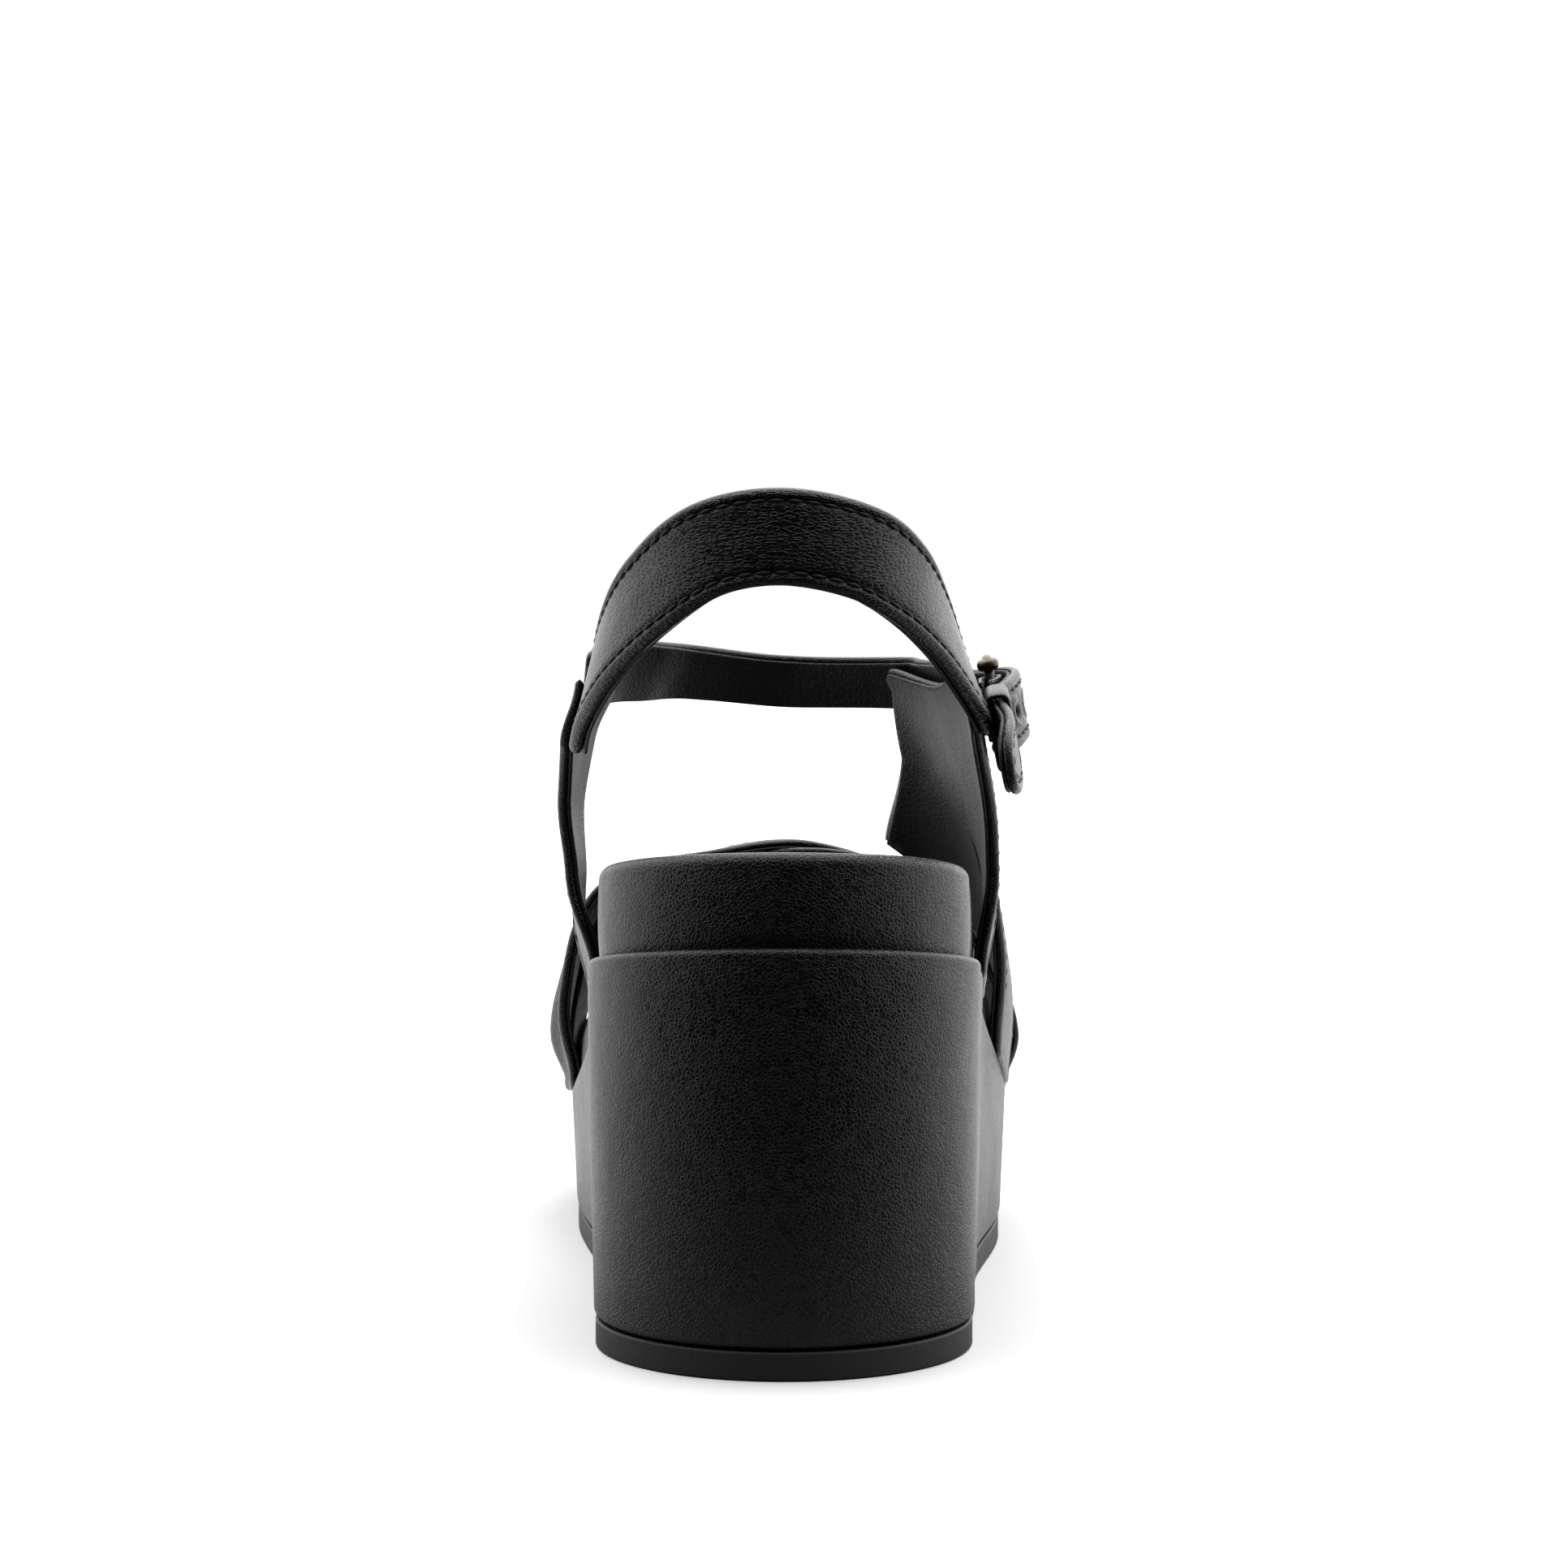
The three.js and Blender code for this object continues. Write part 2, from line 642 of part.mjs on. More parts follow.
const foamLayer = [liningLayer[1] + gap, liningLayer[1] + gap + heelStrapFoam];
const heelOuterLayer = [foamLayer[1] + gap, foamLayer[1] + gap + outerThickness - 0.2];
const heelPath = { stops: heelStrapStops(), width: heelStrapWidth, steps: 30 };

// The instep strap starts on the medial quarter, crosses the foot's ridge, passes outside the
// lateral flap, climbs over the buckle's pin, runs through the keeper and ends in a loose tip.
const frameMargin = 0.75; // room between the strap and the buckle's frame
const overFlap = upperThickness + 1.5 * gap + instepWidth ** 2 / (8 * ankleRadius);
const underFrame = overFlap + upperThickness + gap;
const pinOffset = underFrame + frameSection / 2 - pin.tilt + frameMargin;
const overPin = pinOffset + pin.radius + chapeLeather + 2.6 * gap;
const overChapeEnd = pinOffset + 0.9;
const overKeeperWall = overFlap + keeper.lift + keeper.wall + keeper.room;

function instepStops() {
  const ridgeY = 80;
  const ridgeTop = { point: footPoint(ridgeY, Math.PI / 2), normal: footNormal(ridgeY, Math.PI / 2) };
  ridgeTop.point.addScaledVector(ridgeTop.normal, 2 * gap);
  const cornerY = lateralTop.cornerY;
  const tail = onFoot(lateral, keeper.y - 11, keeper.z - 3, overKeeperWall + 0.3);
  const tip = onFoot(lateral, keeper.y - 21, keeper.z - 6.5, overKeeperWall - 0.8);
  const medialSide = [45, 54, 63, 71].map((y) => onFoot(medial, y, instepHeight, 0));
  const lateralSide = [65, 58, 51].map((y) => onFoot(lateral, y, instepHeight - 4.5, overFlap));
  return [
    ...medialSide,
    ridgeTop,
    onFoot(lateral, cornerY, instepHeight - 4.5, overFlap + 2 * gap),
    ...lateralSide,
    onFoot(lateral, pin.y + frameReach, pin.z + 0.6, overFlap),
    onFoot(lateral, pin.y, pin.z, overPin),
    onFoot(lateral, pin.y - chapeReach - 1, pin.z - 1.4, overChapeEnd),
    onFoot(lateral, keeper.y + 4, keeper.z + 1.1, overKeeperWall + 0.2),
    onFoot(lateral, keeper.y - 4, keeper.z - 1.1, overKeeperWall + 0.1),
    tail,
    tip,
  ];
}

const instepPath = { stops: instepStops(), width: instepWidth, steps: 48, tip: 7 };

function addUpper(strapCut) {
  const heelLayers = [liningLayer, foamLayer, heelOuterLayer];
  const heelRoom = strap(heelPath, [-0.4, heelOuterLayer[1]], gap);
  const instepRoom = strap({ ...instepPath, steps: 12, to: 0.12, tip: 0 }, [0, upperThickness], gap);
  const quarter = (shell, prism, layer) => (
    clearOfSole(footShell(shell, layer).intersect(prism)).subtract(heelRoom).subtract(instepRoom)
  );
  const lateralPrism = prismFromSide(lateralOutline(), lateral, 6);
  const medialPrism = prismFromSide(medialOutline(), medial, 6);
  addPart('lateral_quarter_outer', quarter(lateralShell, lateralPrism, outerLayer), blackLeather);
  addPart('lateral_quarter_lining', quarter(lateralShell, lateralPrism, liningLayer), liningLeather);
  addPart('medial_quarter_outer', quarter(medialShell, medialPrism, outerLayer), blackLeather);
  addPart('medial_quarter_lining', quarter(medialShell, medialPrism, liningLayer), liningLeather);

  const vamp = (side, layer) => (
    clearOfSole(footShell(vampShell, layer).intersect(prismFromAbove(vampOutline(side), 8)))
  );
  const lift = upperThickness + gap;
  addPart('vamp_under_band_outer', vamp(lateral, outerLayer), blackLeather);
  addPart('vamp_under_band_lining', vamp(lateral, liningLayer), liningLeather);
  addPart('vamp_over_band_outer', vamp(medial, stackedLayer(outerLayer, lift)), blackLeather);
  addPart('vamp_over_band_lining', vamp(medial, stackedLayer(liningLayer, lift)), liningLeather);

  const heelNames = ['heel_strap_lining', 'heel_strap_foam', 'heel_strap_outer'];
  const heelLooks = [liningLeather, foam, blackLeather];
  heelNames.forEach((name, index) => addPart(name, strap(heelPath, heelLayers[index]), heelLooks[index]));

  addPart('instep_strap_outer', strap(instepPath, outerLayer).subtract(strapCut), blackLeather);
  addPart('instep_strap_lining', strap(instepPath, liningLayer).subtract(strapCut), liningLeather);
}

// ---------------------------------------------------------------- buckle and keeper

// A frame of axes lying on the lateral side: x outward, y forward along the strap, z across it.
// A tilt lifts its front off the leather by that much over the reach of the buckle.
function fittingBasis({ y, z, tilt, slope }, offset) {
  const { point, normal } = onFoot(lateral, y, z, offset);
  const forward = onFoot(lateral, y + 4, z + 4 * slope, offset).point.sub(point);
  forward.addScaledVector(normal, -forward.dot(normal)).setLength(frameReach);
  forward.addScaledVector(normal, tilt).normalize();
  normal.addScaledVector(forward, -normal.dot(forward)).normalize();
  const across = new THREE.Vector3().crossVectors(normal, forward);
  return new THREE.Matrix4().makeBasis(normal, forward, across).setPosition(point);
}

function placed(solid, matrix) {
  return solid.transform(matrix.toArray());
}

function cylinderAcross(radius, length, segments = 16) {
  const geometry = new THREE.CylinderGeometry(radius, radius, length, segments);
  geometry.rotateX(Math.PI / 2);
  return solidFromGeometry(geometry);
}

function roundedRectangle(halfX, fromY, toY_, radius) {
  const outline = new THREE.Shape();
  outline.moveTo(-halfX + radius, fromY);
  outline.lineTo(halfX - radius, fromY);
  outline.absarc(halfX - radius, fromY + radius, radius, -Math.PI / 2, 0, false);
  outline.absarc(halfX - radius, toY_ - radius, radius, 0, Math.PI / 2, false);
  outline.absarc(-halfX + radius, toY_ - radius, radius, Math.PI / 2, Math.PI, false);
  outline.absarc(-halfX + radius, fromY + radius, radius, Math.PI, Math.PI * 1.5, false);
  return outline;
}

// The frame is a flat rounded ring, open at the rear, with a boss on each side for the pin.
const frameReturn = 1.9;

function makeBuckleFrame() {
  const outline = roundedRectangle(frameHalfHeight, -frameReturn, frameReach, 3);
  const windowHalf = frameHalfHeight - frameSection;
  const notch = roundedRectangle(windowHalf, -frameReturn - 6, frameReach - frameSection, 1.4);
  const settings = {
    depth: frameSection - 0.8,
    bevelEnabled: true,
    bevelSize: 0.4,
    bevelThickness: 0.4,
    bevelSegments: 1,
    curveSegments: 4,
  };
  const ring = new THREE.ExtrudeGeometry(outline, settings);
  ring.translate(0, 0, -settings.depth / 2);
  ring.rotateY(Math.PI / 2);
  const opening = new THREE.ExtrudeGeometry(notch, { depth: 8, bevelEnabled: false, curveSegments: 4 });
  opening.translate(0, 0, -4);
  opening.rotateY(Math.PI / 2);
  const bosses = cylinderAcross(pin.radius + gap + 0.8, 2 * frameHalfHeight);
  const pinHole = cylinderAcross(pin.radius + gap, 40);
  return solidFromGeometry(ring).add(bosses).subtract(solidFromGeometry(opening)).subtract(pinHole);
}

const prongEye = pin.radius + gap + 0.9;
const prongLength = frameReach + 0.6;
const prongRise = frameSection / 2 + gap;

function makeProng(grow) {
  const eye = cylinderAcross(prongEye + grow, prongWidth + 2 * grow);
  const tongue = new THREE.Shape();
  tongue.moveTo(prongEye - 1.1 - grow, 0);
  tongue.lineTo(prongRise - grow, prongLength + grow);
  tongue.lineTo(prongRise + 0.9 + grow, prongLength + grow);
  tongue.lineTo(prongEye + grow, 0);
  const settings = { depth: prongWidth + 2 * grow, bevelEnabled: false };
  const geometry = new THREE.ExtrudeGeometry(tongue, settings);
  geometry.translate(0, 0, -settings.depth / 2);
  const whole = eye.add(solidFromGeometry(geometry));
  return grow > 0 ? whole : whole.subtract(cylinderAcross(pin.radius + gap, 10));
}

// The chape folds round the pin, with a slot in which the prong turns.
const chapeWidth = instepWidth - 1.6;

function makeChape() {
  const bend = pin.radius + gap;
  const half = chapeWidth / 2;
  const turnSteps = 8;
  const rows = [];
  const addRow = (x, y, nx, ny) => {
    const rowAt = (depth) => [-half, half].map((z) => (
      new THREE.Vector3(x + nx * depth, y + ny * depth, z)
    ));
    rows.push({ inner: rowAt(0), outer: rowAt(chapeLeather) });
  };
  addRow(-bend, -chapeReach, -1, 0);
  addRow(-bend, -chapeReach / 2, -1, 0);
  for (let i = 0; i <= turnSteps; i += 1) {
    const angle = Math.PI - (Math.PI * i) / turnSteps;
    addRow(bend * Math.cos(angle), bend * Math.sin(angle), Math.cos(angle), Math.sin(angle));
  }
  addRow(0.4 * bend, -chapeReach / 2, 1, 0);
  addRow(gap - bend, -chapeReach, 1, 0);
  const slotHalf = prongWidth / 2 + gap;
  const slot = box(10, 2 * (prongEye + 1.4), 2 * slotHalf, 0, 1, 0);
  return layered(rows).subtract(slot);
}

function makeKeeper() {
  const halfHeight = instepWidth / 2 + keeper.room;
  const low = overFlap;
  const high = low + 2 * (keeper.wall + keeper.room) + upperThickness;
  const turned = (outline, depth) => {
    const geometry = new THREE.ExtrudeGeometry(outline, { depth, bevelEnabled: false, curveSegments: 3 });
    geometry.translate(0, 0, -depth / 2);
    geometry.rotateX(Math.PI / 2);
    geometry.rotateY(Math.PI / 2);
    return solidFromGeometry(geometry);
  };
  const outside = turned(roundedRectangle(halfHeight + keeper.wall, low, high, 1.6), keeper.length);
  const inside = turned(
    roundedRectangle(halfHeight, low + keeper.wall, high - keeper.wall, 0.8),
    keeper.length + 2,
  );
  return outside.subtract(inside);
}

const buckleBasis = fittingBasis(pin, pinOffset);
const keeperBasis = fittingBasis(keeper, keeper.lift);

function addFastening() {
  const pinLength = 2 * frameHalfHeight - 0.4;
  addPart('buckle_frame', placed(makeBuckleFrame(), buckleBasis), gunmetal);
  addPart('buckle_pin', placed(cylinderAcross(pin.radius, pinLength), buckleBasis), gunmetal);
  addPart('buckle_prong', placed(makeProng(0), buckleBasis), gunmetal);
  addPart('buckle_chape', placed(makeChape(), buckleBasis), blackLeather);
  addPart('keeper_loop', placed(makeKeeper(), keeperBasis), blackLeather);
}

// The prong passes through the strap with clearance all round.
addSole();
addUpper(placed(makeProng(gap), buckleBasis));
addFastening();

export default sandal;
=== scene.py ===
"""Looks of a black leather wedge sandal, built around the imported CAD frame.

Shapes are worked out in millimetres with the same driving sizes as the CAD model, then written
to Blender in metres. Azimuth 0 looks from behind the heel towards the toe.
"""
import json
import math

import bpy
import numpy as np
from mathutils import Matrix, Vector, noise
from mathutils.geometry import delaunay_2d_cdt

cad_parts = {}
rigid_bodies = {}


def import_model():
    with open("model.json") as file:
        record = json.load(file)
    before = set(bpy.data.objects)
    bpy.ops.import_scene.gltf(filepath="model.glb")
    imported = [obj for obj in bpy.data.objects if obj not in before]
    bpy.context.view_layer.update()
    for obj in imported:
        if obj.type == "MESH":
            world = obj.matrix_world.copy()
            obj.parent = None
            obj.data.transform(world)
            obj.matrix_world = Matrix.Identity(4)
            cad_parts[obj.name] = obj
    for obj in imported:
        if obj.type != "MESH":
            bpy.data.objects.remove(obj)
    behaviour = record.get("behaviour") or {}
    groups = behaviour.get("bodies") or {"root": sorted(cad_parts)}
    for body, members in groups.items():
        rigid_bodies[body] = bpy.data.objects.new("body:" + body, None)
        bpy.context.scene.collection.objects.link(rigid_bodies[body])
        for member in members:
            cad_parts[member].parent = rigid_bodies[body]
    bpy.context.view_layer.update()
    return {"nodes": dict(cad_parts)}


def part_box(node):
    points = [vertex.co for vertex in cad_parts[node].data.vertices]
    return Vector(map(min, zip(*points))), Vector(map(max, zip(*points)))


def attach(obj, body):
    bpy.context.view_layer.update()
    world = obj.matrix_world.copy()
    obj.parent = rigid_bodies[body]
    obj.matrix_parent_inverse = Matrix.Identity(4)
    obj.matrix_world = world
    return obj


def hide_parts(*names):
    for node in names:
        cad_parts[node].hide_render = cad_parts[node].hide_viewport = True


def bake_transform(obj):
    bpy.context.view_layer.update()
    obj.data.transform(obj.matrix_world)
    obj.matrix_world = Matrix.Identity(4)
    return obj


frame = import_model()
MM = 0.001

# --- sizes shared with the CAD, in millimetres

WEDGE_LOW, WEDGE_HIGH = (np.array(corner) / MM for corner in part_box("wedge_wrap"))
HEEL_BACK = WEDGE_LOW[1]
TOE = WEDGE_HIGH[1]
WEDGE_TOP_AT_HEEL = 70.4
GAP = 0.3
HEEL_HALF_WIDTH = 33.5
HEEL_ROUND = 33.0
WAIST_Y = 38.0
TOE_ROUND = 66.0
TOE_SQUARENESS = 2.2
TOE_SHIFT = -6.0
TOE_SHIFT_START = 110.0
MEDIAL = {"sign": -1, "waist": 34.0, "ball": 43.6, "ball_y": 120.0, "bulge": 4.6, "lean": 1.6}
LATERAL = {"sign": 1, "waist": 36.0, "ball": 44.6, "ball_y": 106.0, "bulge": 2.4, "lean": 3.4}
SEAT_SLOPE = -0.155
SEAT_END = 20.0
PLATFORM_HEIGHT = 27.5
PLATFORM_START = 124.0
TOE_SPRING = 6.0
TOE_SPRING_START = 138.0
OUTSOLE_THICKNESS = WEDGE_LOW[2] - GAP
FOOTBED_INSET = 2.0
FOOTBED_HEEL = 16.0
FOOTBED_TOE = 10.5
ARCH_POWER = 2.3
BULGE_RISE = 18.0
BALL_BULGE = 2.0
BALL_BULGE_Y = 100.0
LEAN_START = 24.0
LEAN_SPAN = 30.0
RIDGE = [(-40, 330), (36, 173), (60, 131), (78, 113), (107, 79), (140, 63), (175, 55), (210, 52)]
LINING = 0.8
LEATHER = 1.5
UPPER = LINING + LEATHER


# --- small helpers

def unit(vectors):
    """Vectors, or rows of them, brought to length 1."""
    return vectors / np.linalg.norm(vectors, axis=-1, keepdims=True)


def interpolated(at, places, rows):
    """Rows of 3D values, known at places, read in between."""
    return np.stack([np.interp(at, places, rows[:, k]) for k in range(3)], axis=-1)


def run_lengths(points):
    """Distance along a line of points, from its first to each of them."""
    return np.concatenate([[0], np.cumsum(np.linalg.norm(np.diff(points, axis=0), axis=1))])


def clamp01(value):
    return min(1.0, max(0.0, value))


def smooth(value):
    value = clamp01(value)
    return value * value * (3 - 2 * value)


def ease(y, start, end, first, last):
    """A value that turns smoothly from the first to the last between two places."""
    return first + (last - first) * smooth((y - start) / (end - start))


def spring_at(y):
    """How far the toe lifts off the ground."""
    return TOE_SPRING * clamp01((y - TOE_SPRING_START) / (TOE - TOE_SPRING_START)) ** 2


def wedge_top(y):
    """Height of the wedge: a straight heel seat, then a ramp down to the platform."""
    if y <= SEAT_END:
        return WEDGE_TOP_AT_HEEL + SEAT_SLOPE * (y - HEEL_BACK)
    seat_height = WEDGE_TOP_AT_HEEL + SEAT_SLOPE * (SEAT_END - HEEL_BACK)
    span = PLATFORM_START - SEAT_END
    t = clamp01((y - SEAT_END) / span)
    height = (1 + 2 * t) * (1 - t) ** 2 * seat_height + t * (1 - t) ** 2 * span * SEAT_SLOPE
    return height + t * t * (3 - 2 * t) * PLATFORM_HEIGHT + spring_at(y)


def footbed_top(y):
    return wedge_top(y) + ease(y, SEAT_END, PLATFORM_START, FOOTBED_HEEL, FOOTBED_TOE)


def centre_line(y):
    return ease(y, TOE_SHIFT_START, TOE, 0, TOE_SHIFT)


def half_width(side, y, inset):
    """Distance from the centre line to the sole's edge, drawn in by an inset."""
    if y < WAIST_Y:
        width = ease(y, 0, WAIST_Y, HEEL_HALF_WIDTH, side["waist"])
    else:
        width = ease(y, WAIST_Y, side["ball_y"], side["waist"], side["ball"])
    heel_turn = clamp01((HEEL_BACK + HEEL_ROUND - y) / (HEEL_ROUND - inset))
    toe_turn = clamp01((y - TOE + TOE_ROUND) / (TOE_ROUND - inset))
    toe_share = (1 - toe_turn ** TOE_SQUARENESS) ** (1 / TOE_SQUARENESS)
    return (width - inset) * math.sqrt(1 - heel_turn ** 2) * toe_share


def catmull_rom(points, t):
    """A point on the uniform Catmull-Rom curve through the points, t from 0 to 1."""
    points = np.asarray(points, float)
    place = clamp01(t) * (len(points) - 1)
    i = min(int(place), len(points) - 2)
    u = place - i
    p1, p2 = points[i], points[i + 1]
    p0, p3 = points[max(i - 1, 0)], points[min(i + 2, len(points) - 1)]
    v0, v1 = (p2 - p0) / 2, (p3 - p1) / 2
    return ((2 * p1 - 2 * p2 + v0 + v1) * u ** 3 + (-3 * p1 + 3 * p2 - 2 * v0 - v1) * u ** 2
            + v0 * u + p1)


RIDGE_SAMPLES = np.array([catmull_rom(RIDGE, i / 400) for i in range(401)])


def ridge_at(y):
    return float(np.interp(y, RIDGE_SAMPLES[:, 0], RIDGE_SAMPLES[:, 1]))


# --- the foot's surface

NORMAL_STEP = {"along": 1.0, "around": 0.02}


def foot_point(y, angle):
    """A point of the foot's arch: angle 0 at the outer edge of the sole, pi at the inner edge."""
    side = LATERAL if angle < math.pi / 2 else MEDIAL
    power = 2 / ARCH_POWER
    rise = (ridge_at(y) - wedge_top(y)) * abs(math.sin(angle)) ** power
    bulge = ease(y, WAIST_Y, BALL_BULGE_Y, side["bulge"], BALL_BULGE) * smooth(rise / BULGE_RISE)
    lean = side["lean"] * smooth((rise - LEAN_START) / LEAN_SPAN)
    reach = half_width(side, y, FOOTBED_INSET) + GAP + bulge - lean
    x = centre_line(y) + side["sign"] * reach * abs(math.cos(angle)) ** power
    return np.array([x, y, wedge_top(y) + rise])


def foot_normal(y, angle):
    step, turn = NORMAL_STEP["along"], NORMAL_STEP["around"]
    along = foot_point(y + step, angle) - foot_point(y - step, angle)
    around = foot_point(y, angle + turn) - foot_point(y, angle - turn)
    normal = unit(np.cross(around, along))
    outward = foot_point(y, angle) - np.array([centre_line(y), y, wedge_top(y)])
    return normal if normal @ outward > 0 else -normal


def angle_at_height(side, y, z):
    share = clamp01((z - wedge_top(y)) / (ridge_at(y) - wedge_top(y)))
    angle = math.asin(share ** (ARCH_POWER / 2))
    return angle if side is LATERAL else math.pi - angle


def on_foot(side, y, z, offset):
    """A point off one side of the foot at a height, and the normal there."""
    angle = angle_at_height(side, y, z)
    normal = foot_normal(y, angle)
    return foot_point(y, angle) + offset * normal, normal


# --- straps along a curve

def centripetal(points, count):
    """Points spread along a centripetal Catmull-Rom curve, evenly in length, and the length."""
    points = np.asarray(points, float)
    first = 2 * points[0] - points[1]
    last = 2 * points[-1] - points[-2]
    padded = np.vstack([first, points, last])
    dense = []
    for i in range(1, len(padded) - 2):
        p0, p1, p2, p3 = padded[i - 1:i + 3]
        knots = np.cumsum([0] + [math.sqrt(np.linalg.norm(b - a))
                                 for a, b in ((p0, p1), (p1, p2), (p2, p3))])

        def mix(t, low, high, a, b):
            span = knots[high] - knots[low]
            return (knots[high] - t) / span * a + (t - knots[low]) / span * b

        for t in np.linspace(knots[1], knots[2], 24, endpoint=False):
            a1, a2, a3 = mix(t, 0, 1, p0, p1), mix(t, 1, 2, p1, p2), mix(t, 2, 3, p2, p3)
            dense.append(mix(t, 1, 2, mix(t, 0, 2, a1, a2), mix(t, 1, 3, a2, a3)))
    dense = np.array(dense + [points[-1]])
    lengths = run_lengths(dense)
    return interpolated(np.linspace(0, lengths[-1], count), lengths, dense), lengths[-1]


class StrapCurve:
    """The surface of a strap: u runs along it in mm, v across it from its middle."""

    SAMPLES = 400
    EASING = 31

    def __init__(self, stops):
        points, normals = (np.array(column) for column in zip(*stops))
        self.line, self.length = centripetal(points, self.SAMPLES)
        nearest = [int(np.argmin(np.linalg.norm(self.line - p, axis=1))) for p in points]
        share = np.linspace(0, 1, self.SAMPLES)
        eased = interpolated(share, np.array(nearest) / (self.SAMPLES - 1), normals)
        kernel = np.hanning(self.EASING)
        kernel /= kernel.sum()
        margin = self.EASING // 2
        padded = np.pad(eased, ((margin, margin), (0, 0)), mode="edge")
        self.normals = np.column_stack([np.convolve(column, kernel, "valid") for column in padded.T])
        self.tangents = unit(np.gradient(self.line, axis=0))

    def __call__(self, u, v):
        place = clamp01(u / self.length) * (self.SAMPLES - 1)
        point, tangent, normal = (interpolated(place, np.arange(self.SAMPLES), rows)
                                  for rows in (self.line, self.tangents, self.normals))
        tangent = unit(tangent)
        normal = unit(normal - (normal @ tangent) * tangent)
        beyond = u - min(max(u, 0), self.length)
        return point + v * np.cross(tangent, normal) + beyond * tangent, normal

    def at(self, point):
        """How far along the strap it passes closest to a point."""
        nearest = int(np.argmin(np.linalg.norm(self.line - point, axis=1)))
        return nearest / (self.SAMPLES - 1) * self.length


# --- meshes

def new_object(name, vertices, faces, edge=None):
    """A smooth mesh object from points in millimetres, with an optional edge-distance attribute."""
    mesh = bpy.data.meshes.new(name)
    mesh.from_pydata([tuple(c * MM for c in vertex) for vertex in vertices], [], faces)
    mesh.validate()
    mesh.polygons.foreach_set("use_smooth", [True] * len(mesh.polygons))
    if edge is not None:
        layer = mesh.attributes.new("edge_distance", "FLOAT", "POINT")
        layer.data.foreach_set("value", np.asarray(edge, np.float32))
    mesh.update()
    thing = bpy.data.objects.new(name, mesh)
    bpy.context.scene.collection.objects.link(thing)
    return thing


def distance_to_outline(points, loops):
    """Distance from each 2D point to the nearest segment of the closed loops."""
    starts = np.vstack(loops)
    ends = np.vstack([np.roll(loop, -1, axis=0) for loop in loops])
    best = np.full(len(points), np.inf)
    for a, b in zip(starts, ends):
        span = b - a
        share = np.clip(((points - a) @ span) / max(span @ span, 1e-9), 0, 1)
        best = np.minimum(best, np.linalg.norm(points - a - share[:, None] * span, axis=1))
    return best


def inside(points, loop):
    """Whether each 2D point is inside a closed loop."""
    result = np.zeros(len(points), bool)
    x, y = points[:, 0], points[:, 1]
    for (ax, ay), (bx, by) in zip(loop, np.roll(loop, -1, axis=0)):
        if ay == by:
            continue
        crosses = (ay > y) != (by > y)
        result ^= crosses & (x < (bx - ax) * (y - ay) / (by - ay) + ax)
    return result


def within(points, loops):
    """Whether each 2D point is inside the first loop and outside the others."""
    keep = inside(points, loops[0])
    for hole in loops[1:]:
        keep &= ~inside(points, hole)
    return keep


def sideways(loop):
    """Unit vectors square to a closed 2D loop at each of its points."""
    along = np.roll(loop, -1, axis=0) - np.roll(loop, 1, axis=0)
    across = np.column_stack([-along[:, 1], along[:, 0]])
    return across / np.maximum(np.linalg.norm(across, axis=1), 1e-9)[:, None]


def shrink(loop, amount):
    """A loop drawn inward by an amount, for a lining cut a little short of its leather."""
    area = np.sum(loop[:, 0] * np.roll(loop[:, 1], -1) - np.roll(loop[:, 0], -1) * loop[:, 1])
    return loop + amount * sideways(loop) * (1 if area > 0 else -1)


def resample(loop, spacing):
    """A closed loop with points about as far apart as the spacing, corners kept."""
    result = []
    for a, b in zip(loop, np.roll(loop, -1, axis=0)):
        count = max(1, int(round(np.linalg.norm(b - a) / spacing)))
        result += [a + (b - a) * i / count for i in range(count)]
    return np.array(result)


def thinned(points, least):
    """Drops points that crowd a cell of a fine grid, keeping the first in each."""
    cells = np.round(points / least).astype(int)
    _, first = np.unique(cells, axis=0, return_index=True)
    return points[np.sort(first)]


# distances from the outline at which a panel has rows of points, so that its turned edge is fine
RINGS = (0.22, 0.55, 0.95, 1.4, 1.85, 2.15, 2.5, 3.1, 3.9)
ROW_PITCH = 0.87
BORDER = 1e-4


def fill_outline(loops, spacing):
    """Triangles that fill the first loop less the others, fine near the edges."""
    loops = [resample(np.asarray(loop, float), spacing * 0.7) for loop in loops]
    near = np.vstack([
        np.column_stack([loop + sign * ring * sideways(loop), np.full(len(loop), ring)])
        for loop in loops for ring in RINGS for sign in (-1, 1)])
    gaps = distance_to_outline(near[:, :2], loops)
    near = near[gaps > 0.96 * near[:, 2]][:, :2]
    low, high = loops[0].min(axis=0), loops[0].max(axis=0)
    across = np.arange(low[0], high[0], spacing)
    up = np.arange(low[1], high[1], spacing * ROW_PITCH)
    grid = np.array([(x + (row % 2) * spacing / 2, y) for row, y in enumerate(up) for x in across])
    grid = grid[distance_to_outline(grid, loops) > RINGS[-1] + spacing * 0.5]
    points = np.vstack([near, grid])
    points = thinned(points[within(points, loops)], spacing * 0.22)
    edges = []
    for loop in loops:
        start = len(edges)
        edges += [(start + i, start + (i + 1) % len(loop)) for i in range(len(loop))]
    found = delaunay_2d_cdt([Vector(p) for p in np.vstack([*loops, points])], edges, [], 0, 1e-5)
    flat = np.array([tuple(p) for p in found[0]])
    triangles = np.array(found[2])
    solid = within(flat[triangles].mean(axis=1), loops)
    return flat, triangles[solid], distance_to_outline(flat, loops)


STITCH_INSET = 2.1
PUFF = {"height": 0.16, "inset": 1.2, "width": 0.7}
GROOVE_WIDTH = 0.32


